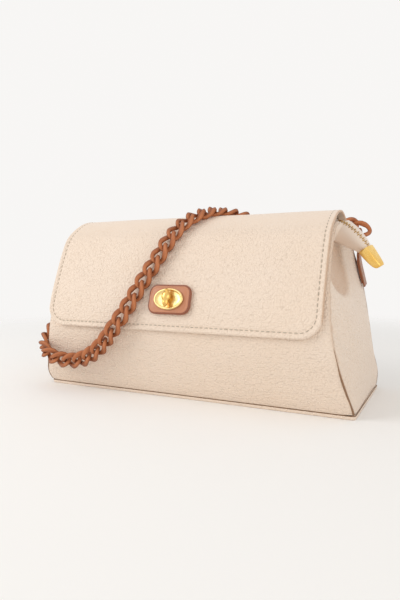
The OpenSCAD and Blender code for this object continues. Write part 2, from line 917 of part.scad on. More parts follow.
// Directions in which the end links leave their rings
left_leave = unit([-0.1, -0.766, -0.643]);
right_leave = unit([-0.72, -0.3, 0.62]);
grip = (ring_wire + link_wire) / 2 + run_gap;

// Middle of an end link, hooked round its ring's wire
function ring_centre(side) = [side * ring_half, axis[0], axis[1]];
function hooked(side, leave) =
    ring_centre(side) + ring_r * unit([0, leave[1], leave[2]]) + (link_a - grip) * leave;
left_link = hooked(-1, left_leave);
right_link = hooked(1, right_leave);

way_points = concat(
    [left_link - link_a * left_leave, left_link],
    [for (row = ring_left_shares) ring_centre(-1) + chain_width * row[0]],
    [
        for (row = side_way_shares)
        let(
            front = depth_at(-1, row[0], leather + seam_gap),
            back = depth_at(1, row[0], leather + seam_gap)
        )
        [
            -gusset_half(row[0], row[1]) - chain_lift - chain_width * row[2],
            lerp(front, back, row[1]),
            base_top + row[0] * body_rise
        ]
    ],
    [
        for (row = front_way_shares)
        let(place = skin(row[1]) + (chain_lift + chain_width * row[2]) * skin_out(row[1]))
        [row[0] * top_width / 2, place[0], place[1]]
    ],
    [for (row = ring_right_shares) ring_centre(1) + chain_width * row[0]],
    [right_link, right_link - link_a * right_leave]
);
// Roll of the end links, so that each ring's wire passes square through its link's opening
end_roll = -36;
function roll(v, about, angle) = v * cos(angle) + cross(about, v) * sin(angle);
left_flat = roll(unit(cross(left_leave, [1, 0, 0])), left_leave, end_roll);
right_flat = roll(unit(cross([1, 0, 0], -right_leave)), -right_leave, -end_roll);
way_flats = concat(
    [-left_flat, -left_flat],
    [for (row = ring_left_shares) unit(row[1])],
    [for (row = side_way_shares) unit(row[3])],
    [
        for (row = front_way_shares)
        let(out = skin_out(row[1]), c = cos(row[3]), r = sin(row[3]))
        [0, out[0] * c + out[1] * r, out[1] * c - out[0] * r]
    ],
    [for (row = ring_right_shares) unit(row[1])],
    [right_flat, right_flat]
);

// Smooth curve through the way's points, cut into short steps
way_cuts = 6;
function curve(p, i, u) =
    0.5 * (
        2 * p[i] + (p[i + 1] - p[i - 1]) * u
        + (2 * p[i - 1] - 5 * p[i] + 4 * p[i + 1] - p[i + 2]) * u * u
        + (3 * p[i] - p[i - 1] - 3 * p[i + 1] + p[i + 2]) * u * u * u
    );
way_last = len(way_points) - 2;
way_curve = concat(
    [for (i = [1:way_last - 1], k = [0:way_cuts - 1]) curve(way_points, i, k / way_cuts)],
    [way_points[way_last]]
);
way_lengths = [
    for (i = 0, sum = 0; i < len(way_curve); sum = sum + norm(
        way_curve[min(i + 1, len(way_curve) - 1)] - way_curve[i]
    ), i = i + 1) sum
];
way_length = way_lengths[len(way_lengths) - 1];
link_total = round(way_length / link_pitch) + 1;
link_step = way_length / (link_total - 1);

// Place, direction and flat side of the strap at a distance along its way
function cut_of(d, low, high) =
    high - low <= 1 ? low
    : let(mid = floor((low + high) / 2))
    way_lengths[mid] > d ? cut_of(d, low, mid) : cut_of(d, mid, high);
function way_at(d) =
    let(
        i = cut_of(d, 0, len(way_lengths) - 1),
        u = (d - way_lengths[i]) / (way_lengths[i + 1] - way_lengths[i])
    )
    lerp(way_curve[i], way_curve[i + 1], u);
function flat_at(d) =
    let(
        i = cut_of(d, 0, len(way_lengths) - 1),
        t = 1 + (i + (d - way_lengths[i]) / (way_lengths[i + 1] - way_lengths[i])) / way_cuts,
        k = min(floor(t), way_last - 1)
    )
    unit(lerp(way_flats[k], way_flats[k + 1], t - k));

function signed_power(v, p) = sign(v) * pow(abs(v), p);
// Middle line of the wire of one link: an oval, twisted from end to end
function link_line(k, tilt = 0) =
    let(
        angle = 360 * (k + 0.5) / link_steps,
        x = link_a * signed_power(cos(angle), 2 / link_power),
        r = link_b * signed_power(sin(angle), 2 / link_power),
        turn = link_twist * x / link_a
    )
    [x, r * cos(turn), r * sin(turn)];

// One link along X with its flat side up, as a closed tube
link_rings = [
    for (k = [0:link_steps - 1])
    let(
        p = link_line(k),
        run = unit(link_line(k + 1) - link_line(k - 1)),
        side = unit(cross(run, p)),
        out = cross(side, run)
    )
    [
        for (j = [0:link_sides - 1])
        p + link_wire / 2 * (cos(360 * j / link_sides) * out + sin(360 * j / link_sides) * side)
    ]
];

module link() {
    polyhedron(
        points = [for (ring = link_rings) each ring],
        faces = side_faces(link_sides, link_steps, link_steps)
    );
}

// Direction of one link, from the middle of the joint before it to the middle of the next
function link_run(i) =
    i == 0 ? left_leave
    : i == link_total - 1 ? -right_leave
    : unit(way_at((i + 0.5) * link_step) - way_at((i - 0.5) * link_step));

module strap(first, last) {
    for (i = [first:last]) {
        d = i * link_step;
        run = link_run(i);
        flat = flat_at(min(d, way_length - 0.001));
        side = unit(cross(flat, run));
        up = cross(run, side);
        p = way_at(min(d, way_length));
        multmatrix([
            [run[0], side[0], up[0], p[0]],
            [run[1], side[1], up[1], p[1]],
            [run[2], side[2], up[2], p[2]]
        ])
        link();
    }
}

// Shares of the strap's links in its four stretches
side_share = 0.27;
front_share = 0.5;
flap_share = 0.72;
side_last = floor(link_total * side_share);
front_last = floor(link_total * front_share);
flap_last = floor(link_total * flap_share);

module chain_side() {
    color("#c17a52") strap(0, side_last);
}

module chain_front() {
    color("#c17a52") strap(side_last + 1, front_last);
}

module chain_flap() {
    color("#c17a52") strap(front_last + 1, flap_last);
}

module chain_top() {
    color("#c17a52") strap(flap_last + 1, link_total - 1);
}

base_panel();
base_board();
front_panel();
back_panel();
gusset_left();
gusset_right();
lining();
inner_pocket();
zip_tape_front();
zip_tape_back();
zip_teeth_front();
zip_teeth_back();
zip_stop();
zip_tail();
zip_tail_teeth();
zip_end_cap();
zip_slider();
zip_puller();
flap_seam_strip();
lock_catch();
tab_left();
tab_right();
flap();
flap_lining();
lock_patch();
lock_plate();
lock_back_plate();
turn_knob();
ring_left();
ring_right();
chain_side();
chain_front();
chain_flap();
chain_top();
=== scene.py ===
import math

import bmesh
import bpy
import numpy as np
from mathutils import Matrix, Vector


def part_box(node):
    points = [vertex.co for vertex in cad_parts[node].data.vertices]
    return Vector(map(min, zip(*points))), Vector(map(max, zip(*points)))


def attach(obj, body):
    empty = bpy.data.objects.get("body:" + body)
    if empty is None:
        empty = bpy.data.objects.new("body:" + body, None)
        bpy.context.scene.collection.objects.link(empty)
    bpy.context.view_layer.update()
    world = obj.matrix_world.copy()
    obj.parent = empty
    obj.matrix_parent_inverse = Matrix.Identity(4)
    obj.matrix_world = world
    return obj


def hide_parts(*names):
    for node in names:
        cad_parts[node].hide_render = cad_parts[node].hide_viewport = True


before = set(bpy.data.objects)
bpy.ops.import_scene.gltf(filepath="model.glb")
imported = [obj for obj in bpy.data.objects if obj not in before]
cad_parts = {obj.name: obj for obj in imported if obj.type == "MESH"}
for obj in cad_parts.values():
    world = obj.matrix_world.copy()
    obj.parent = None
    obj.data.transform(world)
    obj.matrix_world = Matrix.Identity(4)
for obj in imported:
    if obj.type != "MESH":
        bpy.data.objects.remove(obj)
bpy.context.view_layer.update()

# The bag stands on white paper. The camera stands a little to the right of the bag's front,
# just above the height of its lock, with a lens of normal length for a tall picture.
MM = 0.001
CAMERA_TURN = math.radians(26.3)
CAMERA_TILT = math.radians(3.4)
CAMERA_PLACE = (201.6, -424.4, 108.3)
CAMERA_LENS = 30.0
SENSOR = 36.0
CAMERA_REACH = 20.0

camera_back = Vector((
    math.sin(CAMERA_TURN) * math.cos(CAMERA_TILT),
    -math.cos(CAMERA_TURN) * math.cos(CAMERA_TILT),
    math.sin(CAMERA_TILT),
))
camera_right = Vector((math.cos(CAMERA_TURN), math.sin(CAMERA_TURN), 0))
camera_up = camera_back.cross(camera_right)
camera_data = bpy.data.cameras.new("camera")
camera_data.sensor_fit = "AUTO"
camera_data.sensor_width = SENSOR
camera_data.lens = CAMERA_LENS
camera_data.clip_end = CAMERA_REACH
camera = bpy.data.objects.new("camera", camera_data)
camera_axes = zip(camera_right, camera_up, camera_back, Vector(CAMERA_PLACE) * MM)
camera.matrix_world = Matrix((*camera_axes, (0, 0, 0, 1)))
bpy.context.collection.objects.link(camera)
bpy.context.scene.camera = camera
bpy.context.scene.view_settings.view_transform = "Standard"


# The paper is one wide white sheet under the bag, and farther off it fades into the white of the
# room. Soft boxes light it from the upper left, with weaker ones above and on the right.
PAPER_COLOR = (0.93, 0.925, 0.915)
PAPER_REACH = 4000.0
PAPER_FADE = (0.3, 0.95)
ROOM_COLOR, ROOM_STRENGTH = (1, 0.985, 0.965), 0.72
BACKDROP_COLOR = (0.935, 0.922, 0.908)
LAMP_AIM = Vector((0, 0, 0.08))
SOFT_BOXES = (
    ("left soft box", (-0.98, -0.8, 0.72), 0.75, 7.6, (1.0, 0.98, 0.955)),
    ("top soft box", (0.0, -0.1, 1.35), 1.1, 1.2, (1.0, 0.985, 0.97)),
    ("right soft box", (1.05, -0.6, 0.22), 0.8, 2.8, (1.0, 0.92, 0.83)),
)


def put(name, points, faces, smooth=True):
    """A new object in the scene, from points in millimetres and faces."""
    mesh = bpy.data.meshes.new(name)
    mesh.from_pydata([(p[0] * MM, p[1] * MM, p[2] * MM) for p in points], [], faces)
    mesh.validate()
    if smooth:
        mesh.shade_smooth()
    piece = bpy.data.objects.new(name, mesh)
    bpy.context.collection.objects.link(piece)
    return piece


def join(tree, value, socket):
    """Sets a socket to a number or a colour, or joins another node's output to it."""
    if isinstance(value, bpy.types.NodeSocket):
        tree.links.new(value, socket)
    else:
        socket.default_value = (*value, 1) if isinstance(value, tuple) else value


def shader_node(tree, kind, inputs=(), **settings):
    """A shader node with its settings, and each named input set or joined."""
    made = tree.nodes.new("ShaderNode" + kind)
    for name, value in settings.items():
        setattr(made, name, value)
    for label, value in dict(inputs).items():
        join(tree, value, made.inputs[label])
    return made


def math_node(tree, operation, a, b):
    return shader_node(tree, "Math", {0: a, 1: b}, operation=operation).outputs[0]


def object_place(tree):
    return shader_node(tree, "TexCoord").outputs["Object"]


def plain_material(name, color, rough, metal=0.0):
    """A new material with its node tree and its shader."""
    material = bpy.data.materials.new(name)
    material.use_nodes = True
    tree = material.node_tree
    shader = tree.nodes["Principled BSDF"]
    join(tree, color, shader.inputs["Base Color"])
    join(tree, rough, shader.inputs["Roughness"])
    join(tree, metal, shader.inputs["Metallic"])
    return material, tree, shader


paper_corners = [(x * PAPER_REACH, y * PAPER_REACH, 0) for x, y in ((-1, -1), (1, -1), (1, 1), (-1, 1))]
paper = put("paper", paper_corners, [(0, 1, 2, 3)])
paper_material, paper_tree, paper_shader = plain_material("white paper", PAPER_COLOR, 0.9)
join(paper_tree, 0.1, paper_shader.inputs["Specular IOR Level"])
paper_far = shader_node(paper_tree, "VectorMath", {0: object_place(paper_tree)}, operation="LENGTH")
paper_fade = shader_node(
    paper_tree, "MapRange",
    {"Value": paper_far.outputs["Value"], "From Min": PAPER_FADE[0], "From Max": PAPER_FADE[1],
     "To Min": 1, "To Max": 0},
    interpolation_type="SMOOTHERSTEP",
)
join(paper_tree, paper_fade.outputs["Result"], paper_shader.inputs["Alpha"])
paper.data.materials.append(paper_material)

world = bpy.data.worlds.new("studio")
bpy.context.scene.world = world
world.use_nodes = True
sky = world.node_tree
sky.nodes.clear()
rays = shader_node(sky, "LightPath").outputs
seen = math_node(sky, "MAXIMUM", rays["Is Camera Ray"], rays["Is Glossy Ray"])
seen = math_node(sky, "MAXIMUM", seen, rays["Is Transmission Ray"])
room = shader_node(sky, "Background", {"Color": ROOM_COLOR, "Strength": ROOM_STRENGTH})
backdrop = shader_node(sky, "Background", {"Color": BACKDROP_COLOR, "Strength": 1})
choose = shader_node(sky, "MixShader", {0: seen, 1: room.outputs[0], 2: backdrop.outputs[0]})
shader_node(sky, "OutputWorld", {"Surface": choose.outputs[0]})

for lamp_name, lamp_place, lamp_size, lamp_power, lamp_color in SOFT_BOXES:
    lamp_data = bpy.data.lights.new(lamp_name, "AREA")
    lamp_data.shape = "SQUARE"
    lamp_data.size = lamp_size
    lamp_data.energy = lamp_power
    lamp_data.color = lamp_color
    lamp = bpy.data.objects.new(lamp_name, lamp_data)
    lamp.location = lamp_place
    lamp.rotation_euler = (LAMP_AIM - Vector(lamp_place)).to_track_quat("-Z", "Y").to_euler()
    bpy.context.collection.objects.link(lamp)


# The front and back are panels of pebbled cream leather on a soft stiffener, cut from one hide.
# Their side edges are turned in and sewn to the gussets, so that a fine groove shows there.
BASE_WIDTH = 290.0
BASE_DEPTH = 115.0
BODY_HEIGHT = 148.0
TOP_WIDTH = 252.0
LEATHER = 2.0
BASE_THICK = 2.6
SEAM_GAP = 0.2
BASE_TOP = BASE_THICK + SEAM_GAP
BODY_RISE = BODY_HEIGHT - BASE_TOP
FLAP_BOTTOM = 58.5
TURNED_EDGE = 2.0
LOWER_EDGE = 1.2
SEAM_TUCK = 0.9
SEAM_FALL = 2.2
LEFT_CORNER_ROUND, RIGHT_CORNER_FILL = 7.5, 3.2
PANEL_ROWS = 76
EDGE_FINE = (0.0, 0.15, 0.4, 0.8, 1.3, 2.0, 3.0, 4.5, 6.5, 9.0)
WALL_STEPS = 40
FRONT, BACK = -1, 1
DEPTH_SHARES = {
    FRONT: (
        (0, 1), (0.05, 1.06), (0.14, 1.13), (0.27, 1.205), (0.4, 1.235), (0.54, 1.17),
        (0.68, 1.045), (0.82, 0.9), (0.92, 0.76), (0.975, 0.6), (1, 0.42),
    ),
    BACK: (
        (0, 1), (0.05, 1.05), (0.14, 1.08), (0.3, 1.07), (0.46, 1), (0.62, 0.88),
        (0.74, 0.75), (0.85, 0.58), (0.93, 0.41), (0.98, 0.28), (1, 0.2),
    ),
}
WIDTH_SHARES = {
    FRONT: (
        (0, 1), (0.03, 0.96), (0.13, 0.74), (0.22, 0.55), (0.34, 0.35), (0.43, 0.23),
        (0.55, 0.12), (0.65, 0.05), (0.8, 0), (1, 0),
    ),
    BACK: ((0, 1), (0.1, 0.94), (0.33, 0.76), (0.66, 0.42), (0.85, 0.12), (1, 0)),
}


def unit(value):
    """A value held between 0 and 1."""
    return min(1.0, max(0.0, value))


def smooth_through(t, table):
    """A smooth curve through a table of (place, value)."""
    rows = len(table)
    i = 0
    while i < rows - 2 and t >= table[i + 1][0]:
        i += 1

    def slope(k):
        a, b = max(k - 1, 0), min(k + 1, rows - 1)
        return (table[b][1] - table[a][1]) / (table[b][0] - table[a][0])

    step = table[i + 1][0] - table[i][0]
    u = (t - table[i][0]) / step
    v = 1 - u
    return (
        table[i][1] * (1 + 2 * u) * v * v + slope(i) * step * u * v * v
        + table[i + 1][1] * u * u * (3 - 2 * u) - slope(i + 1) * step * u * u * v
    )


def height_at(s):
    return BASE_TOP + s * BODY_RISE


def height_share(z):
    return (z - BASE_TOP) / BODY_RISE


def wall(face, s):
    """Depth and height of a wall at a share of its rise."""
    return np.array([face * BASE_DEPTH / 2 * smooth_through(s, DEPTH_SHARES[face]), height_at(s)])


def wall_run(face, s):
    run = wall(face, min(s + 0.01, 1)) - wall(face, max(s - 0.01, 0))
    return run / np.linalg.norm(run)


def wall_out(face, s):
    run = wall_run(face, s)
    return face * np.array([run[1], -run[0]])


def wall_at(face, s, off):
    return wall(face, s) + off * wall_out(face, s)


def depth_at(face, s, off):
    """Depth at a level height, inside the wall by a distance."""
    return wall(face, s)[0] - face * off / wall_run(face, s)[1]


def seam_half(face, s):
    return (TOP_WIDTH + (BASE_WIDTH - TOP_WIDTH) * smooth_through(s, WIDTH_SHARES[face])) / 2


def closed_shell(name, rows, columns, place):
    """A solid sheet over a grid. place gives the outer and inner point at a row and a column."""
    grid = [[place(row, column) for column in columns] for row in rows]
    points = [pair[face] for face in (0, 1) for line in grid for pair in line]
    tall, wide = len(grid), len(grid[0])
    count = tall * wide
    faces = []
    for i in range(tall - 1):
        for j in range(wide - 1):
            a, d = i * wide + j, (i + 1) * wide + j
            faces.append((a, a + 1, d + 1, d))
            faces.append((count + d, count + d + 1, count + a + 1, count + a))
    rim = list(range(wide))
    rim += [i * wide + wide - 1 for i in range(1, tall)]
    rim += [(tall - 1) * wide + j for j in range(wide - 2, -1, -1)]
    rim += [i * wide for i in range(tall - 2, 0, -1)]
    faces += [(b, a, count + a, count + b) for a, b in zip(rim, rim[1:] + rim[:1])]
    return put(name, points, faces)


def turned(distance, radius=TURNED_EDGE):
    """How far a turned edge falls back, at a distance from the edge."""
    if distance >= radius:
        return 0.0
    return radius - math.sqrt(radius * radius - (radius - distance) ** 2)


def seam_fall(distance):
    """Fall of a wall towards its side seam: a broad round shoulder and a tight turn."""
    return min(SEAM_FALL, turned(distance, 1.2) + 1.3 * max(0.0, 1 - distance / 10) ** 2)


def settle(piece):
    """Rounds the bag's lower left corner and fills out the lower back corner at the right."""
    for vertex in piece.data.vertices:
        x, y, z = vertex.co / MM
        end = min(1.2, max(0.0, (abs(x) - 100) / 45)) ** 2
        if x < 0:
            x += LEFT_CORNER_ROUND * end * max(0.0, 1 - z / 17) ** 2
        else:
            near = math.exp(-((z - 16) / 15) ** 2) * math.exp(-((58 - y) / 18) ** 2)
            x += RIGHT_CORNER_FILL * end * near
        vertex.co.x = x * MM
    return piece


def edge_columns(fine, steps):
    """Places across a sheet as (side, distance from the edge, share between the edges)."""
    left = [(-1, d, 0) for d in fine]
    middle = [(0, 0, share) for share in np.linspace(-1, 1, steps + 1)[1:-1]]
    return left + middle + [(1, d, 0) for d in reversed(fine)]


def column_x(column, half, fine=EDGE_FINE):
    side, distance, share = column
    return side * (half - distance) if side else share * (half - fine[-1])


def panel_softness(x, s, half):
    """Slow unevenness of the stuffed wall, with shallow pulls beside the side seams."""
    z = height_at(s)
    below_flap = unit((FLAP_BOTTOM - 4 - z) / 12)
    slow = 0.5 * math.sin(x / 41 + 1.3) * math.sin(z / 23 + 0.4) + 0.3 * math.sin(x / 19 - z / 31)
    near = math.exp(-((half - abs(x)) / 16) ** 2)
    pull = 0.35 * near * math.sin(z / 3.9 + 0.12 * abs(x)) + 0.2 * near * math.sin(z / 7.1 + 1)
    return below_flap * (0.55 * slow + pull) * math.sin(math.pi * unit(s / 0.06) / 2)


def wall_panel(name, face):
    def place(s, column):
        half = seam_half(face, s)
        x = column_x(column, half - SEAM_TUCK)
        seam = seam_fall(half - SEAM_TUCK - abs(x))
        fall = seam + turned(s * BODY_RISE, LOWER_EDGE) / 2
        outer = wall_at(face, s, panel_softness(x, s, half) - fall)
        inner = wall_at(face, s, -max(LEATHER, seam + 0.7) - 0.02)
        return (x, *outer), (x, *inner)

    shares = [0, 0.004, 0.01, 0.02, *np.linspace(0.03, 1, PANEL_ROWS + 1)]
    return settle(closed_shell(name, shares, edge_columns(EDGE_FINE, WALL_STEPS)[::-face], place))


def mark(piece, label, share_at):
    """Stores a share from 0 to 1 for each point of a piece, for its material to read."""
    layer = piece.data.attributes.new(label, "FLOAT", "POINT")
    layer.data.foreach_set("value", [share_at(*(vertex.co / MM)) for vertex in piece.data.vertices])
    return piece


def front_seam_painted_shade(x, y, z):
    """Share of painted shade along the front's side seams, strongest in the groove where shade falls.
    """
    return 0.75 * math.exp(-(max(0.0, seam_half(FRONT, unit(height_share(z))) - abs(x)) / 1.5) ** 2)


def new_group(name, inputs, outputs):
    """A shader node group with its named inputs, and named outputs of a kind."""
    group = bpy.data.node_groups.new(name, "ShaderNodeTree")
    for label, value in inputs.items():
        kind = "NodeSocketColor" if isinstance(value, tuple) else "NodeSocketFloat"
        socket = group.interface.new_socket(label, in_out="INPUT", socket_type=kind)
        join(group, value, socket)
    for label, kind in outputs.items():
        group.interface.new_socket(label, in_out="OUTPUT", socket_type="NodeSocket" + kind)
    return group, group.nodes.new("NodeGroupInput").outputs, group.nodes.new("NodeGroupOutput").inputs


def noise(tree, place, scale, detail=3.0, rough=0.55, output="Fac"):
    inputs = {"Vector": place, "Scale": scale, "Detail": detail, "Roughness": rough}
    return shader_node(tree, "TexNoise", inputs).outputs[output]


def ramp(tree, value, low, high):
    """A value spread from low and high to 0 and 1."""
    inputs = {"Value": value, "From Min": low, "From Max": high}
    return shader_node(tree, "MapRange", inputs).outputs["Result"]


def mix_color(tree, factor, a, b):
    inputs = {"Factor": factor, "A": a, "B": b}
    return shader_node(tree, "Mix", inputs, data_type="RGBA").outputs["Result"]


def raise_grain(tree, shader, height, depth, strength=1.0):
    """Gives a material a relief of a depth in millimetres."""
    bump = shader_node(tree, "Bump", {"Strength": strength, "Distance": depth * MM, "Height": height})
    join(tree, bump.outputs["Normal"], shader.inputs["Normal"])


# The grain is rounded pebbles of uneven size, packed close, with fine creases between them. The
# tone of the hide drifts slowly from place to place.
grain, grain_in, grain_out = new_group(
    "pebbled grain", {"Pebble Scale": 430.0, "Unevenness": 0.08},
    {"Height": "Float", "Crease": "Float", "Drift": "Float"},
)
grain_place = object_place(grain)
warp = noise(grain, grain_place, 210.0, 2.0, output="Color")
warp = shader_node(grain, "VectorMath", {0: warp, "Scale": 0.0006}, operation="SCALE").outputs[0]
warped = shader_node(grain, "VectorMath", {0: grain_place, 1: warp}, operation="ADD").outputs[0]
pebbles = shader_node(
    grain, "TexVoronoi",
    {"Smoothness": 0.5, "Randomness": 0.75, "Vector": warped, "Scale": grain_in["Pebble Scale"]},
    feature="SMOOTH_F1",
).outputs["Distance"]
pebble_dome = math_node(grain, "SUBTRACT", 1.0, math_node(grain, "POWER", pebbles, 2.0))
uneven = math_node(grain, "MULTIPLY", noise(grain, grain_place, 60.0, 1.0), grain_in["Unevenness"])
fine_height = math_node(grain, "MULTIPLY", noise(grain, grain_place, 2600.0, 2.0), 0.12)
height_sum = math_node(grain, "ADD", math_node(grain, "ADD", pebble_dome, uneven), fine_height)
join(grain, height_sum, grain_out["Height"])
join(grain, ramp(grain, pebbles, 0.42, 0.85), grain_out["Crease"])
join(grain, ramp(grain, noise(grain, grain_place, 17.0), 0.3, 0.7), grain_out["Drift"])

# How far the creases between the pebbles are darkened, as painted shade, and how much rougher they are.
CREASE_SHADE, CREASE_ROUGH = 0.15, 0.22
# Shares of the dark tone that give the colour of the painted shade.
PAINTED_SHADE_SHARES = (0.7, 0.54, 0.41)


def leather_material(name, light, dark, crease_shade, pebble_scale, depth, rough, sheen=0.15):
    """Leather with painted shade where a point attribute marks it and in the creases of its grain, and
    less grain where it is stretched.
    """
    material, tree, shader = plain_material(name, light, rough)
    texture = shader_node(tree, "Group", {"Pebble Scale": pebble_scale}, node_tree=grain).outputs
    # The attribute read here marks where shade falls in seam grooves, in a hollow and on a shaded edge.
    # There the tone is mixed towards a darker colour as painted shade.
    painted_shade = shader_node(tree, "Attribute", attribute_name="painted_shade").outputs["Fac"]
    stretched = shader_node(tree, "Attribute", attribute_name="stretched").outputs["Fac"]
    tone = mix_color(tree, texture["Drift"], light, dark)
    # The creases between the pebbles are mixed towards a darker colour: painted shade in the creases.
    tone = mix_color(tree, math_node(tree, "MULTIPLY", texture["Crease"], CREASE_SHADE), tone, crease_shade)
    painted_shade_tone = tuple(c * share for c, share in zip(dark, PAINTED_SHADE_SHARES))
    join(tree, mix_color(tree, painted_shade, tone, painted_shade_tone), shader.inputs["Base Color"])
    creased = math_node(tree, "MULTIPLY", texture["Crease"], CREASE_ROUGH)
    join(tree, math_node(tree, "ADD", rough - 0.05, creased), shader.inputs["Roughness"])
    grain_left = math_node(tree, "SUBTRACT", 1.0, stretched)
    raise_grain(tree, shader, math_node(tree, "MULTIPLY", texture["Height"], grain_left), depth)
    join(tree, 0.42, shader.inputs["Specular IOR Level"])
    join(tree, sheen, shader.inputs["Sheen Weight"])
    join(tree, 0.4, shader.inputs["Sheen Roughness"])
    return material


cream_leather = leather_material(
    "cream pebbled leather", (0.83, 0.693, 0.577), (0.82, 0.673, 0.546), (0.75, 0.575, 0.43),
    600.0, 0.9, 0.45,
)


def finish(piece, material, body, slot, *nodes):
    """Gives a piece its material and body, and hides the CAD nodes that it stands for. Its slot is not
    used.
    """
    piece.data.materials.clear()
    piece.data.materials.append(material)
    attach(piece, body)
    if nodes:
        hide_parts(*nodes)
    return piece


front = mark(wall_panel("front_leather", FRONT), "painted_shade", front_seam_painted_shade)
finish(front, cream_leather, "bag", "leather_body", "front_panel")
finish(wall_panel("back_leather", BACK), cream_leather, "bag", "leather_body", "back_panel")


# Each gusset is one piece of the same leather, soft enough to swell at the middle and to pinch
# in below the zip. Short pulls run from its front seam, where the sewing gathers it.
GUSSET_TOP = 0.94
GUSSET_BULGE = 5.0
GUSSET_STEPS = 30
GUSSET_ROWS = 110
HOLLOW_DEPTH = 2.4
HOLLOW_MIDDLE, HOLLOW_SIZE = (-27.0, 121.0), (36.0, 34.0)
GUSSET_SHARES = (
    (0, 0), (0.1, 0.3), (0.3, 0.9), (0.48, 0.9), (0.6, 0.3), (0.7, -0.6), (0.8, -1.25),
    (0.9, -1.4), (1, -1.3),
)


def gusset_hollow(y, z):
    """The soft top of the right gusset is pushed in under the flap, down to a round lower end."""
    across = (y - HOLLOW_MIDDLE[0]) / HOLLOW_SIZE[0]
    down = min(0.0, z - HOLLOW_MIDDLE[1]) / HOLLOW_SIZE[1]
    share = unit((1 - across ** 2 - down ** 2) / 0.22)
    return share * share * (3 - 2 * share)


# Painted shade in the groove beside the front seam and, on the right gusset, a painted shadow in the
# hollow under the flap.
def gusset_painted_shade(x, y, z):
    from_seam = max(0.0, y - depth_at(FRONT, unit(height_share(z)), LEATHER))
    near = 0.75 * math.exp(-(from_seam / 1.7) ** 2)
    return max(near, 0.7 * gusset_hollow(y, z) if x > 0 else 0.0)


def gusset_half(s, v):
    """Distance of a gusset from the bag's middle, at a share of the way from front to back."""
    swell = GUSSET_BULGE * smooth_through(s, GUSSET_SHARES) * math.sin(math.pi * v)
    return seam_half(FRONT, s) * (1 - v) + seam_half(BACK, s) * v + swell


def gusset_softness(s, from_front, from_back):
    """Short pulls beside both seams, and slow waves between them."""
    z = height_at(s)
    tall = math.sin(math.pi * s / 0.85) ** 0.7 if s < 0.85 else 0
    pulls = 0.42 * math.exp(-(from_front / 15) ** 2) * math.sin(z / 1.75 + 0.28 * from_front)
    pulls += 0.3 * math.exp(-(from_front / 26) ** 2) * math.sin(z / 3.3 - 0.12 * from_front + 1)
    pulls += 0.25 * math.exp(-(from_back / 14) ** 2) * math.sin(z / 2.6 + 0.2 * from_back)
    slow = 0.5 * math.sin(z / 17 + from_front / 13) * math.sin(from_front / 21)
    return tall * (pulls + 0.6 * slow) - 0.3


def gusset_leather(name, side):
    def place(s, column):
        z = height_at(s)
        front_y = depth_at(FRONT, s, LEATHER + SEAM_GAP)
        span = depth_at(BACK, s, LEATHER + SEAM_GAP) - front_y
        d = span / 2 + column_x(column, span / 2)
        half = gusset_half(s, d / span)
        held = min(1, d / 3) * min(1, (span - d) / 3)
        x = half + min(0.6, gusset_softness(s, d, span - d)) * held
        x -= seam_fall(d) + seam_fall(span - d) + turned(z - BASE_TOP, LOWER_EDGE) / 2
        x -= turned((GUSSET_TOP - s) * BODY_RISE, 0.8)
        if side > 0:
            x -= HOLLOW_DEPTH * gusset_hollow(front_y + d, z) * min(1, d / 5)
        return (side * x, front_y + d, z), (side * min(x - 0.3, half - LEATHER), front_y + d, z)

    shares = np.linspace(0, GUSSET_TOP, GUSSET_ROWS + 1)
    return settle(closed_shell(name, shares, edge_columns(EDGE_FINE, GUSSET_STEPS)[::side], place))


for side, node in ((1, "gusset_right"), (-1, "gusset_left")):
    gusset = mark(gusset_leather(node + "_leather", side), "painted_shade", gusset_painted_shade)
    finish(gusset, cream_leather, "bag", "leather_body", node)


# In the groove of each side seam lies the raw edge of the folded leather, painted brown. It shows where
# the seam spreads towards the base, and its dark brown also stands in for the shade in the groove.
SEAM_EDGE_TOP, SEAM_EDGE_STEPS = 0.36, 24
SEAM_EDGE_SIDE = 1.4
SEAM_EDGE_DEPTH = {FRONT: 1.7, BACK: 2.8}
SEAM_EDGE_RADIUS = {FRONT: 0.75, BACK: 0.3}


def around(steps):
    """Angles spaced evenly round a circle."""
    return [2 * math.pi * k / steps for k in range(steps)]


def ring_faces(rings, size, start=0, closed=False):
    """Faces through rings of points. The ends are filled, or the last ring joins the first."""
    faces = []
    for k in range(rings if closed else rings - 1):
        here, there = start + k * size, start + (k + 1) % rings * size
        for j in range(size):
            turn = (j + 1) % size
            faces.append((here + j, here + turn, there + turn, there + j))
    if not closed:
        last = start + (rings - 1) * size
        faces.append(tuple(range(start, start + size))[::-1])
        faces.append(tuple(range(last, last + size)))
    return faces


def loft(name, rings, closed=False):
    """A solid through rings of points in millimetres."""
    faces = ring_faces(len(rings), len(rings[0]), 0, closed)
    return put(name, [point for ring in rings for point in ring], faces)


def tube(name, path, radii, sides=8, closed=False):
    """A round bar along a path in millimetres, with a radius at each point."""
    path = [np.array(p, float) for p in path]
    count = len(path)
    rings = []
    normal = None
    for k, p in enumerate(path):
        if closed:
            run = path[(k + 1) % count] - path[k - 1]
        else:
            run = path[min(k + 1, count - 1)] - path[max(k - 1, 0)]
        run = run / np.linalg.norm(run)
        if normal is None:
            normal = np.cross(run, (0.3, 0.2, 0.93))
        normal = normal - run * np.dot(run, normal)
        normal = normal / np.linalg.norm(normal)
        other = np.cross(run, normal)
        spokes = [math.cos(angle) * normal + math.sin(angle) * other for angle in around(sides)]
        rings.append([p + radii[k] * spoke for spoke in spokes])
    return loft(name, rings, closed)


def mottled_material(name, color, rough, dark, light, scale, detail=3.0):
    """A plain material with a fine uneven tone."""
    material, tree, shader = plain_material(name, color, rough)
    cloud = noise(tree, object_place(tree), scale, detail)
    join(tree, mix_color(tree, cloud, dark, light), shader.inputs["Base Color"])
    return material


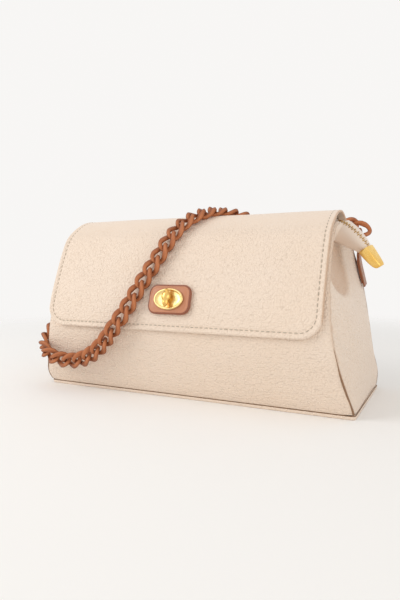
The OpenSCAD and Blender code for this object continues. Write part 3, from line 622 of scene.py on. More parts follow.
edge_paint_and_groove_shade = mottled_material(
    "brown edge paint and painted groove shade", (0.22, 0.11, 0.055), 0.55, (0.17, 0.085, 0.04), (0.34, 0.19, 0.1), 300.0,
)
for side in (-1, 1):
    for face in (FRONT, BACK):
        path, radii = [], []
        for share in np.linspace(0, 1, SEAM_EDGE_STEPS + 1):
            s = 0.01 + SEAM_EDGE_TOP * share
            y = depth_at(face, s, SEAM_EDGE_DEPTH[face])
            path.append((side * (seam_half(face, s) - SEAM_EDGE_SIDE), y, height_at(s)))
            radii.append(SEAM_EDGE_RADIUS[face] * (1 - share ** 2) + 0.12)
        name = "seam_edge_%s_%s" % ("left" if side < 0 else "right", "front" if face < 0 else "back")
        finish(settle(tube(name, path, radii)), edge_paint_and_groove_shade, "bag", "leather_brown")


# The base is a flat panel of leather over a fibre board. Its edge stands a little proud of the
# walls and shows as a narrow band along the floor.
BASE_LIP = 0.3
BASE_CORNER = 3.0
BASE_LEVELS = (
    (0.9, 0.0), (0.4, 0.12), (0.1, 0.45), (0.0, 1.3), (0.1, 2.15), (0.4, 2.48), (0.9, 2.6), (4.0, 2.6),
)
BOUND_EDGE_RADIUS = 0.3
BOARD_WIDTH, BOARD_DEPTH = 281.0, 106.0
BOARD_LEVELS = ((0.3, 0.0), (0.0, 0.3), (0.0, 1.5), (0.3, 1.8))


def rounded_outline(width, depth, radius, steps=8):
    """A rectangle's outline with round corners."""
    outline = []
    for cx, cy, start in ((1, 1, 0), (-1, 1, 90), (-1, -1, 180), (1, -1, 270)):
        for k in range(steps + 1):
            angle = math.radians(start + 90 * k / steps)
            outline.append((
                cx * (width / 2 - radius) + radius * math.cos(angle),
                cy * (depth / 2 - radius) + radius * math.sin(angle),
            ))
    return outline


def rounded_slab(name, width, depth, radius, levels, place):
    """A slab with round corners, from levels of (inset, height)."""
    rings = []
    for inset, height in levels:
        outline = rounded_outline(width - 2 * inset, depth - 2 * inset, max(0.3, radius - inset))
        rings.append([place @ Vector((x, y, height)) for x, y in outline])
    return loft(name, rings)


base = rounded_slab(
    "base_leather", BASE_WIDTH + BASE_LIP, BASE_DEPTH + 2 * BASE_LIP, BASE_CORNER, BASE_LEVELS,
    Matrix.Identity(4),
)
finish(settle(base), cream_leather, "bag", "leather_body", "base_panel")
# A thin brown tube lies in the seam between the walls and the base: a painted bound edge, whose dark
# brown also stands in for the shade in the seam.
base_outline = rounded_outline(
    BASE_WIDTH - 2 * BOUND_EDGE_RADIUS, BASE_DEPTH - 2 * BOUND_EDGE_RADIUS, BASE_CORNER,
)
base_line = [(x, y, BASE_TOP - 0.05) for x, y in base_outline]
base_edge = tube("base_bound_edge", base_line, [BOUND_EDGE_RADIUS] * len(base_line), 8, True)
finish(settle(base_edge), edge_paint_and_groove_shade, "bag", "leather_brown")
fibre = mottled_material(
    "fibre board", (0.45, 0.33, 0.22), 0.85, (0.34, 0.24, 0.15), (0.56, 0.43, 0.3), 900.0, 5.0,
)
board = rounded_slab(
    "base_fibre_board", BOARD_WIDTH, BOARD_DEPTH, BASE_CORNER, BOARD_LEVELS,
    Matrix.Translation((0, 0, BASE_TOP)),
)
finish(board, fibre, "bag", "board", "base_board")


# The lining is a bag of plain-woven beige cloth, glued to the walls near the mouth, with a slip
# pocket sewn to its back.
LINING_THICK = 0.8
LINING_GAP = LEATHER + SEAM_GAP + 0.9
LINING_LOW = height_share(BASE_TOP + 1.8 + SEAM_GAP)
LINING_TOP = 0.88
LINING_ROWS, LINING_SIDE_STEPS, LINING_WALL_STEPS = 26, 12, 40
LINING_SOFT = 0.9
POCKET_WIDTH = 150.0
POCKET_LOW, POCKET_RISE = 0.3, 0.3
POCKET_ROWS, POCKET_COLUMNS, POCKET_HEM_ROWS = 16, 30, 3
POCKET_THICK, POCKET_HEM, POCKET_SAG = 0.7, 0.5, 1.6

weave, weave_in, weave_out = new_group(
    "woven cloth", {"Threads": 1500.0}, {"Height": "Float", "Thread": "Float"},
)
weave_place = object_place(weave)
weave_waves = [
    shader_node(
        weave, "TexWave", {"Distortion": 0.6, "Vector": weave_place, "Scale": weave_in["Threads"]},
        bands_direction=direction,
    ).outputs["Fac"]
    for direction in ("X", "Z", "Y")
]
across = math_node(weave, "MAXIMUM", weave_waves[0], weave_waves[1])
join(weave, math_node(weave, "ADD", across, weave_waves[2]), weave_out["Height"])
join(weave, noise(weave, weave_place, 700.0, 4.0), weave_out["Thread"])


def cloth_material(name, light, dark, threads, rough):
    material, tree, shader = plain_material(name, light, rough)
    texture = shader_node(tree, "Group", {"Threads": threads}, node_tree=weave).outputs
    join(tree, mix_color(tree, texture["Thread"], dark, light), shader.inputs["Base Color"])
    raise_grain(tree, shader, texture["Height"], 0.1, 0.5)
    join(tree, 0.25, shader.inputs["Sheen Weight"])
    return material


lining_cloth = cloth_material("beige lining cloth", (0.62, 0.48, 0.34), (0.52, 0.39, 0.27), 900.0, 0.85)


def lining_ring(s, off, soft=0.0, lift=0.0):
    """The lining's line at a height: right gusset, back, left gusset and front."""
    z = height_at(s) + lift
    front_y, back_y = depth_at(FRONT, s, off), depth_at(BACK, s, off)
    shares = np.linspace(0, 1, LINING_SIDE_STEPS + 1)
    side = [(gusset_half(s, v) - off, front_y + (back_y - front_y) * v, z) for v in shares]

    def crossing(corner, y, inward, wave, phase):
        points = []
        for share in np.linspace(0, 1, LINING_WALL_STEPS + 1)[1:-1]:
            x = corner * (1 - 2 * share)
            ripple = soft * (0.5 + 0.5 * math.sin(x / wave + phase)) * math.sin(math.pi * share)
            points.append((x, y + inward * ripple, z))
        return points

    back = crossing(side[-1][0], back_y, -1, 7.0, 4 * s)
    front = crossing(-side[0][0], front_y, 1, 8.0, 5 * s + 1)
    return side + back + [(-x, y, z) for x, y, z in reversed(side)] + front


lining_shares = np.linspace(LINING_LOW, LINING_TOP, LINING_ROWS + 1)
lining_rings = [lining_ring(s, LINING_GAP) for s in lining_shares]
inner_rings = [
    lining_ring(s, LINING_GAP + LINING_THICK, LINING_SOFT, 0.0 if k else LINING_THICK)
    for k, s in enumerate(lining_shares)
]
lining = loft("lining_cloth", lining_rings + inner_rings[::-1])
finish(lining, lining_cloth, "bag", "lining_cloth", "lining")
lining_girths = [
    sum(math.dist(p, q) for p, q in zip(ring, ring[1:] + ring[:1])) * MM for ring in lining_rings
]


def pocket_place(k, j):
    """A slack patch of cloth on the back of the lining, hemmed along its mouth."""
    s = POCKET_LOW + POCKET_RISE * k / POCKET_ROWS
    hem = POCKET_HEM if k > POCKET_ROWS - POCKET_HEM_ROWS else 0.0
    belly = POCKET_SAG * (k / POCKET_ROWS) ** 2 * math.sin(math.pi * j / POCKET_COLUMNS)
    off = LINING_GAP + LINING_THICK + 0.4 + POCKET_THICK + hem
    x, y = POCKET_WIDTH * (j / POCKET_COLUMNS - 0.5), depth_at(BACK, s, off) - belly
    return (x, y, height_at(s)), (x, y + POCKET_THICK + hem, height_at(s))


pocket = closed_shell("pocket_cloth", range(POCKET_ROWS + 1), range(POCKET_COLUMNS + 1), pocket_place)
finish(pocket, lining_cloth, "bag", "lining_cloth", "inner_pocket")


# The zip closes the mouth. Two woven tapes carry stamped metal teeth that mesh along the middle,
# and a cast slider with a flat puller rides on them.
ZIP_HEIGHT = 145.0
TAPE_ROWS, TAPE_COLUMNS = 8, 120
TAPE_WAVE, TAPE_EASE = 0.12, 0.05
SCUFF_ROUGH = 0.12
zip_cloth = cloth_material("cream zip tape", (0.82, 0.71, 0.57), (0.74, 0.62, 0.47), 1300.0, 0.8)

plating, plating_in, plating_out = new_group(
    "plated metal", {"Bright": (0.9, 0.66, 0.27), "Deep": (0.78, 0.5, 0.15)},
    {"Color": "Color", "Scuff": "Float"},
)
plating_place = object_place(plating)
plating_cloud = ramp(plating, noise(plating, plating_place, 90.0, 4.0), 0.35, 0.65)
plating_tone = mix_color(plating, plating_cloud, plating_in["Bright"], plating_in["Deep"])
join(plating, plating_tone, plating_out["Color"])
scratches = noise(plating, plating_place, 1400.0, 5.0, 0.7)
join(plating, ramp(plating, scratches, 0.3, 0.75), plating_out["Scuff"])


def gold_material(name, bright, deep, rough):
    material, tree, shader = plain_material(name, bright, rough, 1.0)
    texture = shader_node(tree, "Group", {}, node_tree=plating)
    join(tree, bright, texture.inputs["Bright"])
    join(tree, deep, texture.inputs["Deep"])
    join(tree, texture.outputs["Color"], shader.inputs["Base Color"])
    scuffed = math_node(tree, "MULTIPLY", texture.outputs["Scuff"], SCUFF_ROUGH)
    join(tree, math_node(tree, "ADD", scuffed, rough), shader.inputs["Roughness"])
    return material


pale_gold = gold_material("pale gold plating", (0.93, 0.72, 0.34), (0.86, 0.6, 0.22), 0.16)
deep_gold = gold_material("deep gold plating", (0.84, 0.56, 0.18), (0.7, 0.4, 0.1), 0.26)


def eased_copy(name, node, width, segments=2):
    """The CAD node's own form with its hard edges eased."""
    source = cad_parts[node]
    piece = bpy.data.objects.new(name, source.data.copy())
    bpy.context.collection.objects.link(piece)
    piece.matrix_world = source.matrix_world
    piece.modifiers.new("weld", "WELD").merge_threshold = 0.00001
    flat = piece.modifiers.new("flat", "DECIMATE")
    flat.decimate_type = "DISSOLVE"
    flat.angle_limit = math.radians(1.5)
    ease = piece.modifiers.new("ease", "BEVEL")
    ease.width = width * MM
    ease.segments = segments
    ease.limit_method = "ANGLE"
    ease.angle_limit = math.radians(28)
    ease.harden_normals = False
    piece.data.shade_smooth()
    return piece


def zip_tape(name, node):
    low, high = (np.array(corner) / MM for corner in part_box(node))

    def place(j, k):
        x = low[0] + (high[0] - low[0]) * k / TAPE_COLUMNS
        y = low[1] + (high[1] - low[1]) * j / TAPE_ROWS
        wave = TAPE_WAVE * math.sin(x / 9 + j) * math.sin(math.pi * j / TAPE_ROWS)
        return (x, y, high[2] + wave - TAPE_EASE), (x, y, low[2] + wave / 2 + TAPE_EASE)

    piece = closed_shell(name, range(TAPE_ROWS + 1), range(TAPE_COLUMNS + 1), place)
    finish(piece, zip_cloth, "bag", "zip_cloth", node)


zip_tape("zip_tape_front_cloth", "zip_tape_front")
zip_tape("zip_tape_back_cloth", "zip_tape_back")
for node, width, segments, metal, body in (
    ("zip_teeth_front", 0.35, 2, deep_gold, "bag"), ("zip_teeth_back", 0.35, 2, deep_gold, "bag"),
    ("zip_stop", 0.4, 2, deep_gold, "bag"), ("zip_slider", 0.35, 3, pale_gold, "slider"),
    ("zip_puller", 0.3, 3, pale_gold, "puller"),
):
    finish(eased_copy(node + "_metal", node, width, segments), metal, body, "gold_metal", node)


# Past the bag's right end the zip runs into a folded strip of smooth cream leather that hangs
# over the gusset. Its teeth show along the ridge, and a gold wedge caps its end.
ZIP_HALF = 120.0
ZIP_DEPTH = (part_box("zip_teeth_front")[0][1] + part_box("zip_teeth_back")[1][1]) / 2 / MM
TAIL_UNIT = 12.0
TAIL_SIDE = 16.0
TAIL_THICK = 1.6
TAIL_LEAN = 46.0
TAIL_STEPS = 48
TAIL_LINE = (
    (0.0, 0.29), (0.3, 0.23), (0.63, 0.04), (1.02, -0.28), (1.42, -0.68), (1.77, -1.1), (2.06, -1.52),
)
TAIL_END = len(TAIL_LINE) - 1
TAIL_WIDTHS = (0.98, 1.05, 1.03, 0.96, 0.86, 0.7, 0.52)
FRONT_SIDE, BACK_SIDE = 44.0, 24.0
FRONT_SWELL, BACK_SWELL = 3.0, 0.5
FRONT_SIDE_STEPS, BACK_SIDE_STEPS, BACK_SIDE_SHARE = 12, 8, 0.55


def between(t, table):
    """The value or values of a table at a place between two of its rows."""
    i = min(int(t), len(table) - 2)
    a, b = np.atleast_1d(table[i]), np.atleast_1d(table[i + 1])
    return a + (b - a) * (t - i)


def tail_point(t):
    along, up = between(t, TAIL_LINE)
    return np.array([ZIP_HALF + SEAM_GAP + along * TAIL_UNIT, 0, ZIP_HEIGHT + up * TAIL_UNIT])


def tail_run(t):
    run = tail_point(min(t + 0.5, TAIL_END)) - tail_point(max(t - 0.5, 0))
    return run / np.linalg.norm(run)


def tail_place(t, across, up):
    """A point off the tail's ridge. The ridge leans to the front as the tail bends down."""
    run = tail_run(t)
    lean = math.radians(TAIL_LEAN) * min(1, t / 1.5)
    side = across * math.cos(lean) - up * math.sin(lean)
    rise = across * math.sin(lean) + up * math.cos(lean)
    return tail_point(t) + np.array([0, ZIP_DEPTH + side, 0]) + rise * np.array([-run[2], 0, run[0]])


def tail_ring(t):
    """The folded leather's section: a long front side, a short back side and its inner face."""
    width = TAIL_SIDE * between(t, TAIL_WIDTHS)[0]
    back_width = BACK_SIDE_SHARE * width
    slope = max(0.55, min(1, 0.55 + t / 3))
    front, back = math.radians(FRONT_SIDE * slope), math.radians(BACK_SIDE * slope)
    front_shares = np.linspace(0, 1, FRONT_SIDE_STEPS + 1)
    back_shares = np.linspace(0, 1, BACK_SIDE_STEPS + 1)[1:]

    def outside(face, angle, reach, swell):
        across = reach * math.cos(angle) + swell * math.sin(angle)
        return face * across, swell * math.cos(angle) - reach * math.sin(angle)

    def inside(face, angle, reach):
        return face * (reach - 0.4) * math.cos(angle), -reach * math.sin(angle) - TAIL_THICK

    ring = [
        outside(-1, front, w * width, FRONT_SWELL * slope * math.sin(math.pi * w ** 0.75))
        for w in reversed(front_shares)
    ]
    ring += [
        outside(1, back, w * back_width, BACK_SWELL * slope * math.sin(math.pi * w))
        for w in back_shares
    ]
    ring += [inside(1, back, w * back_width) for w in reversed(back_shares)]
    ring.append((0, -TAIL_THICK * (1 + slope)))
    ring += [inside(-1, front, w * width) for w in front_shares[1:-1]]
    ring.append((0.2 - (width - 0.9) * math.cos(front), -width * math.sin(front) - TAIL_THICK * 0.8))
    return [tail_place(t, across, up) for across, up in ring]


def face_outward(piece):
    work = bmesh.new()
    work.from_mesh(piece.data)
    bmesh.ops.recalc_face_normals(work, faces=work.faces)
    work.to_mesh(piece.data)
    work.free()
    return piece


smooth_leather = leather_material(
    "smooth cream leather", (0.84, 0.73, 0.63), (0.82, 0.7, 0.6), (0.76, 0.62, 0.5), 1500.0, 0.05, 0.36,
)
tail = loft("zip_tail_leather", [tail_ring(t) for t in np.linspace(0, TAIL_END, TAIL_STEPS + 1)])
finish(face_outward(tail), smooth_leather, "bag", "leather_smooth", "zip_tail")

# The tail's teeth are small stamped bars in two rows that mesh along the ridge. The end cap is a
# cast wedge with a flat bright top and steep sides, gripping the folded leather.
TAIL_TEETH = 25
TEETH_FROM, TEETH_REACH = 0.12, 5.75
TOOTH_CORNERS = (
    (-0.42, -0.4, -0.5), (0.42, -0.4, -0.5), (0.42, 2.1, -1.2), (-0.42, 2.1, -1.2),
    (-0.34, -0.3, 0.6), (0.34, -0.3, 0.6), (0.34, 1.9, 0.1), (-0.34, 1.9, 0.1),
)
TOOTH_FACES = ((0, 1, 2, 3), (4, 5, 6, 7), (0, 1, 5, 4), (1, 2, 6, 5), (2, 3, 7, 6), (3, 0, 4, 7))
CAP_TURN = math.radians(25)
CAP_BEVEL = 0.5
CAP_SECTIONS = (
    (-0.6, 0.94, 0.94), (0.0, 1.05, 1.05), (1.2, 1.06, 1.06), (6.0, 1.0, 1.0), (11.0, 0.9, 0.92),
    (15.0, 0.78, 0.8), (17.0, 0.66, 0.66), (18.0, 0.5, 0.5),
)
CAP_SHAPE = (
    (-7.2, -5.4), (-5.2, 0.0), (-4.6, 0.6), (4.6, 0.6), (5.2, 0.0), (5.6, -4.4), (0.0, -6.4),
    (-6.6, -6.1),
)
# The tail's teeth get a darker copy of the gold than the zip's own teeth.
darker_gold = gold_material("darker gold plating", (0.6, 0.38, 0.13), (0.42, 0.25, 0.08), 0.34)
warm_gold = gold_material("warm gold plating", (0.95, 0.67, 0.24), (0.86, 0.52, 0.13), 0.2)

tooth_points, tooth_faces = [], []
for k in range(TAIL_TEETH):
    t = TEETH_FROM + TEETH_REACH * k / (TAIL_TEETH - 1)
    foot = tail_place(t, 0, 0)
    across, rise = tail_place(t, 1, 0) - foot, tail_place(t, 0, 1) - foot
    middle = tail_place(t, 0, 0.3)
    row = 1 if k % 2 else -1
    tooth_faces += [tuple(len(tooth_points) + v for v in face) for face in TOOTH_FACES]
    run, across = tail_run(t), row * across
    tooth_points += [middle + a * run + b * across + c * rise for a, b, c in TOOTH_CORNERS]
tail_teeth = face_outward(put("zip_tail_teeth_metal", tooth_points, tooth_faces, False))
finish(tail_teeth, darker_gold, "bag", "gold_metal", "zip_tail_teeth")

cap_run = tail_run(TAIL_END)
cap_across = np.array([0, 1.0, 0])
cap_rise = np.array([-cap_run[2], 0, cap_run[0]])
cap_top = math.cos(CAP_TURN) * cap_rise - math.sin(CAP_TURN) * cap_across
cap_side = math.cos(CAP_TURN) * cap_across + math.sin(CAP_TURN) * cap_rise
cap_rings = []
for along, wide, tall in CAP_SECTIONS:
    spot = tail_place(TAIL_END, 0, 0.6) + along * cap_run
    cap_rings.append([spot + wide * a * cap_side + tall * b * cap_top for a, b in CAP_SHAPE])
cap = face_outward(loft("zip_end_cap_metal", cap_rings))
cap_bevel = cap.modifiers.new("bevel", "BEVEL")
cap_bevel.width = CAP_BEVEL * MM
cap_bevel.segments = 2
finish(cap, warm_gold, "bag", "gold_metal", "zip_end_cap")


# The flap is one long sheet of the body leather, lined with smooth leather. It is sewn to the
# back, bends over the crown and hangs down the front. Its edge is turned over a cord, so that a
# round roll runs outside the stitch line.
FLAP_WIDTH = 248.0
FLAP_CORNER = 17.0
FLAP_THICK = 2.4
FLAP_LINING = 0.8
FLAP_GAP = 0.4
FLAP_TOTAL = FLAP_THICK + FLAP_LINING + SEAM_GAP
HINGE_SHARE = 0.9
CROWN_FRONT, CROWN_BACK = 0.95, 0.93
CROWN_REACH = BASE_DEPTH * 0.26
FRONT_STEPS, CROWN_STEPS, HINGE_STEPS = 120, 90, 12
CROWN_SMOOTH_FROM, CROWN_SMOOTH_TO, CROWN_SMOOTHNESS = 139.0, 152.0, 0.85
CROWN_THIN, CROWN_THIN_RIGHT = 1.3, 0.4
ROLL_WIDTH, ROLL_TURN, ROLL_RISE = 4.2, 1.2, 0.45
GROOVE_WIDTH, GROOVE_DEPTH = 2.0, 0.35
TURNED_IN = 6.0
FLAP_STEP = 2.5
FLAP_LOCK = 25.5
FLAP_SPREAD = 3.6
FLAP_FINE = (0.0, 0.12, 0.35, 0.7, 1.2, 1.8, 2.5, 3.2, 3.8, 4.2, 4.6, 5.1, 5.6, 6.2, 6.7, 8.0, 11.0)
FLAP_COLUMNS, FLAP_ROWS = 48, 96
INNER_INSET = 6.8
INNER_ROWS, INNER_COLUMNS = 80, 40


def crown_point(t):
    """The flap's way from the front wall over the crown to the back wall."""
    a, d = wall_at(FRONT, CROWN_FRONT, FLAP_GAP), wall_at(BACK, CROWN_BACK, FLAP_GAP)
    b = a + CROWN_REACH * wall_run(FRONT, CROWN_FRONT)
    c = d + CROWN_REACH * wall_run(BACK, CROWN_BACK)
    u = 1 - t
    return u ** 3 * a + 3 * u * u * t * b + 3 * u * t * t * c + t ** 3 * d


flap_low = height_share(FLAP_BOTTOM)
front_rise = np.linspace(flap_low, CROWN_FRONT, FRONT_STEPS + 1)[:-1]
back_fall = np.linspace(CROWN_BACK, HINGE_SHARE, HINGE_STEPS + 1)[1:]
flap_way = np.array(
    [wall_at(FRONT, s, FLAP_GAP) for s in front_rise]
    + [crown_point(t) for t in np.linspace(0, 1, CROWN_STEPS + 1)]
    + [wall_at(BACK, s, FLAP_GAP) for s in back_fall]
)


def lengths_along(points):
    """The length of a line up to each of its points."""
    steps = np.linalg.norm(np.diff(points, axis=0), axis=1)
    return np.concatenate(([0], np.cumsum(steps)))


def spot_at(length, lengths, points):
    """The place on a line at a length from its start."""
    return np.array([np.interp(length, lengths, column) for column in np.transpose(points)])


flap_lengths = lengths_along(flap_way)
FLAP_LENGTH = flap_lengths[-1]
crown_start = flap_lengths[FRONT_STEPS - 8]
crown_stop = flap_lengths[FRONT_STEPS + CROWN_STEPS - 4]


def flap_place(length, off):
    """Depth and height of the flap at a length from its lower edge, off its inner face."""
    ahead = spot_at(min(length + FLAP_STEP, FLAP_LENGTH), flap_lengths, flap_way)
    behind = spot_at(max(length - FLAP_STEP, 0), flap_lengths, flap_way)
    run = (ahead - behind) / np.linalg.norm(ahead - behind)
    return spot_at(length, flap_lengths, flap_way) + off * np.array([-run[1], run[0]])


def flap_x(x):
    """The flap hangs a little farther out at its left end."""
    return x - FLAP_SPREAD * unit(-2 * x / FLAP_WIDTH) ** 2


def crown_thin(x, length):
    """How much thinner the leather is where it is stretched over the crown."""
    share = (length - crown_start) / (crown_stop - crown_start)
    if not 0 < share < 1:
        return 0.0
    return (CROWN_THIN + CROWN_THIN_RIGHT * unit(x / 110)) * math.sin(math.pi * share) ** 0.7


def flap_half(length):
    return FLAP_WIDTH / 2 - turned(length, FLAP_CORNER)


def flap_edge_distance(x, length):
    from_side, from_low = FLAP_WIDTH / 2 - abs(x), length
    if from_side < FLAP_CORNER and from_low < FLAP_CORNER:
        return max(0.0, FLAP_CORNER - math.hypot(FLAP_CORNER - from_side, FLAP_CORNER - from_low))
    return min(from_side, from_low)


def roll_height(d):
    """Height of the flap's face near its edge, above its even thickness."""
    if d < ROLL_TURN:
        return ROLL_RISE - 1.35 * turned(d, ROLL_TURN)
    if d < ROLL_WIDTH:
        share = (d - ROLL_TURN) / (ROLL_WIDTH - ROLL_TURN)
        return ROLL_RISE * math.cos(math.pi / 2 * share) - GROOVE_DEPTH * share ** 3
    if d < ROLL_WIDTH + GROOVE_WIDTH:
        return -GROOVE_DEPTH * math.cos(math.pi / 2 * (d - ROLL_WIDTH) / GROOVE_WIDTH) ** 2
    return 0.0


def flap_under(d):
    """Height of the turned edge's underside above the flap's inner face."""
    return turned(d, 0.8) if d < TURNED_IN else min(1.0, (d - TURNED_IN) / 0.6)


def flap_softness(x, length):
    """Slow waves of the leather, flat near the lock and at the hinge."""
    away = unit((math.hypot(x, length - FLAP_LOCK) - 24) / 25)
    ends = math.sin(math.pi * min(1, length / FLAP_LENGTH)) ** 0.5
    slow = 0.22 * math.sin(x / 33 + 0.7) * math.sin(length / 21) + 0.12 * math.sin(x / 13 + length / 17)
    return away * ends * slow


def flap_sheet_place(length, column):
    x = column_x(column, flap_half(length), FLAP_FINE)
    edge, thin = flap_edge_distance(x, length), crown_thin(x, length)
    roll = roll_height(edge) * (1 - thin / 2)
    outer = flap_place(length, FLAP_TOTAL - thin + roll + flap_softness(x, length))
    return (flap_x(x), *outer), (flap_x(x), *flap_place(length, flap_under(edge)))


def flap_edge_painted_shade(x, y, z):
    """Painted shade on the side of the turned edge that faces the right gusset, away from the light."""
    return 0.8 * unit((x - FLAP_WIDTH / 2 + 1.3) / 1.0)


def flap_stretch(x, y, z):
    """The hide is stretched smooth over the crown."""
    return CROWN_SMOOTHNESS * unit((z - CROWN_SMOOTH_FROM) / (CROWN_SMOOTH_TO - CROWN_SMOOTH_FROM))


def inner_place(length, share):
    """The smooth leather inside the flap ends at the turned edge."""
    if length > FLAP_CORNER:
        half = flap_half(length) - INNER_INSET
    else:
        half = FLAP_WIDTH / 2 - INNER_INSET - turned(length - INNER_INSET, FLAP_CORNER - INNER_INSET)
    x = flap_x(share * half)
    return (x, *flap_place(length, FLAP_LINING + 0.1)), (x, *flap_place(length, 0.05))


flap_rows = [*FLAP_FINE, 12.5, 14, 15.5, *np.linspace(FLAP_CORNER, FLAP_LENGTH, FLAP_ROWS + 1)]
flap = closed_shell("flap_leather", flap_rows, edge_columns(FLAP_FINE, FLAP_COLUMNS), flap_sheet_place)
finish(flap, cream_leather, "flap", "leather_body", "flap")
mark(mark(flap, "painted_shade", flap_edge_painted_shade), "stretched", flap_stretch)
inner_rows = np.linspace(INNER_INSET, FLAP_LENGTH - 0.4, INNER_ROWS + 1)
inner_columns = np.linspace(-1, 1, INNER_COLUMNS + 1)
flap_inner = closed_shell("flap_inner_leather", inner_rows, inner_columns, inner_place)
finish(flap_inner, smooth_leather, "flap", "leather_smooth", "flap_lining")


# The stitches are waxed grey-beige thread. Each one lies in the groove beside the roll, and dips
# into the leather at both ends.
STITCH_PITCH = 4.2
STITCH_LENGTH = 2.9
STITCH_RADIUS = 0.36
STITCH_SIDES = 6
STITCH_PROFILE = (
    (-0.5, 0.35, -0.55), (-0.36, 0.85, -0.1), (-0.15, 1.0, 0.1), (0.15, 1.0, 0.1), (0.36, 0.85, -0.1),
    (0.5, 0.35, -0.55),
)
thread = mottled_material(
    "waxed thread", (0.42, 0.34, 0.25), 0.6, (0.38, 0.32, 0.25), (0.6, 0.52, 0.42), 1100.0,
)


def square_axes(run, out):
    """Three directions at right angles to each other: along, outward and across."""
    run = np.array(run, float) / np.linalg.norm(run)
    out = np.array(out, float) - run * np.dot(out, run)
    out /= np.linalg.norm(out)
    return run, out, np.cross(run, out)


def stitch_row(name, places, body):
    """One object of stitches, from (middle, direction, outward) in millimetres."""
    points, faces = [], []
    for middle, run, out in places:
        run, out, side = square_axes(run, out)
        faces += ring_faces(len(STITCH_PROFILE), STITCH_SIDES, len(points))
        for along, thick, rise in STITCH_PROFILE:
            spot = middle + along * STITCH_LENGTH * run + rise * STITCH_RADIUS * out
            for angle in around(STITCH_SIDES):
                way_out = math.cos(angle) * out + math.sin(angle) * side
                points.append(spot + thick * STITCH_RADIUS * way_out)
    return finish(face_outward(put(name, points, faces)), thread, body, "zip_cloth")


def flap_outline(inset):
    """The line at an even distance inside the flap's edge, as (x, length) pairs."""
    half, radius = FLAP_WIDTH / 2 - inset, FLAP_CORNER - inset
    top = FLAP_LENGTH - 3

    def corner(side, start):
        angles = np.radians(np.linspace(start, start + 90, 31))
        middle = side * (half - radius)
        return [(middle + radius * math.cos(a), FLAP_CORNER + radius * math.sin(a)) for a in angles]

    left = [(-half, top - k) for k in np.arange(0, top - FLAP_CORNER, 1.0)]
    low = [(x, inset) for x in np.arange(-half + radius + 1, half - radius, 1.0)]
    right = [(half, k) for k in np.arange(FLAP_CORNER + 1, top, 1.0)]
    return left + corner(-1, 180) + low + corner(1, 270) + right


def along_line(points, pitch):
    """Middles and directions spaced evenly along a line of points."""
    reach = lengths_along(points)
    count = int(reach[-1] // pitch)
    found = []
    for k in range(count):
        at = (k + 0.5) * reach[-1] / count
        behind, middle, ahead = (spot_at(at + step, reach, points) for step in (-0.6, 0, 0.6))
        found.append((middle, ahead - behind))
    return found


stitch_line = []
for x, length in flap_outline(ROLL_WIDTH + 0.3):
    off = FLAP_TOTAL - crown_thin(x, length) - 0.2 + flap_softness(x, length)
    stitch_line.append((flap_x(x), *flap_place(length, off)))
flap_stitches = []
for middle, run in along_line(stitch_line, STITCH_PITCH):
    length = flap_lengths[np.argmin(np.linalg.norm(flap_way - middle[1:], axis=1))]
    outward = flap_place(length, 1.0) - flap_place(length, 0.0)
    flap_stitches.append((middle, run, (0, *outward)))
stitch_row("flap_stitches", flap_stitches, "flap")


# Below the hinge line a strip of the flap's leather lies flat on the back, with rounded edges,
# and is sewn down with two rows of stitches.
SEAM_STRIP = 14.0
STRIP_ROWS = 24
STRIP_HIGH, STRIP_LOW = HINGE_SHARE - 0.6 / BODY_RISE, HINGE_SHARE - SEAM_STRIP / BODY_RISE


def strip_place(k, column):
    s = STRIP_HIGH + (STRIP_LOW - STRIP_HIGH) * k / STRIP_ROWS
    x = column_x(column, FLAP_WIDTH / 2)
    from_end = min(k, STRIP_ROWS - k) / STRIP_ROWS * SEAM_STRIP
    fall = turned(min(FLAP_WIDTH / 2 - abs(x), from_end), 1.0)
    return (x, *wall_at(BACK, s, FLAP_THICK - fall)), (x, *wall_at(BACK, s, SEAM_GAP))


strip_columns = edge_columns(EDGE_FINE, WALL_STEPS)
strip = closed_shell("seam_strip_leather", range(STRIP_ROWS + 1), strip_columns, strip_place)
finish(strip, cream_leather, "bag", "leather_body", "flap_seam_strip")
strip_stitches = []
for share in (0.2, 0.8):
    s = STRIP_HIGH + (STRIP_LOW - STRIP_HIGH) * share
    spot, outward = wall_at(BACK, s, FLAP_THICK + 0.02), wall_out(BACK, s)
    row = [(x, *spot) for x in np.arange(4 - FLAP_WIDTH / 2, FLAP_WIDTH / 2 - 3, 1.0)]
    strip_stitches += [(middle, run, (0, *outward)) for middle, run in along_line(row, STITCH_PITCH)]
stitch_row("seam_strip_stitches", strip_stitches, "bag")


# The turn lock sits on a firm patch of terracotta leather with painted edges. An oval plate is
# pressed from brass and plated, and its cast knob turns a quarter.
LOCK_HEIGHT = 83.0
PATCH_WIDTH, PATCH_HEIGHT, PATCH_THICK, PATCH_CORNER = 38.0, 24.0, 3.0, 7.0
PATCH_BASE = 0.5
PATCH_LEVELS = (
    (0.3, -0.4), (0.0, 0.0), (0.0, 1.3), (0.15, 1.9), (0.6, 2.45), (1.3, 2.8), (2.1, 2.9), (2.6, 2.75),
    (3.2, 2.85), (5.0, 3.0),
)
RIM_INSET, RIM_HEIGHT, RIM_RADIUS = 0.85, 1.5, 1.25
PLATE_WIDTH, PLATE_HEIGHT, PLATE_THICK = 27.0, 18.0, 1.6
PLATE_BASE = PATCH_BASE + PATCH_THICK + SEAM_GAP
PLATE_LEVELS = (
    (0.25, 0.0), (0.0, 0.2), (0.0, 0.8), (0.25, 1.25), (0.8, 1.55), (1.4, 1.5), (1.9, 1.15),
    (2.3, 0.98), (5.0, 1.0), (6.6, 1.02),
)
KNOB_BASE = PLATE_BASE + PLATE_THICK + 0.3
KNOB_SIDES, KNOB_AXIS, KNOB_THICKEST = 20, 2.2, 3.6
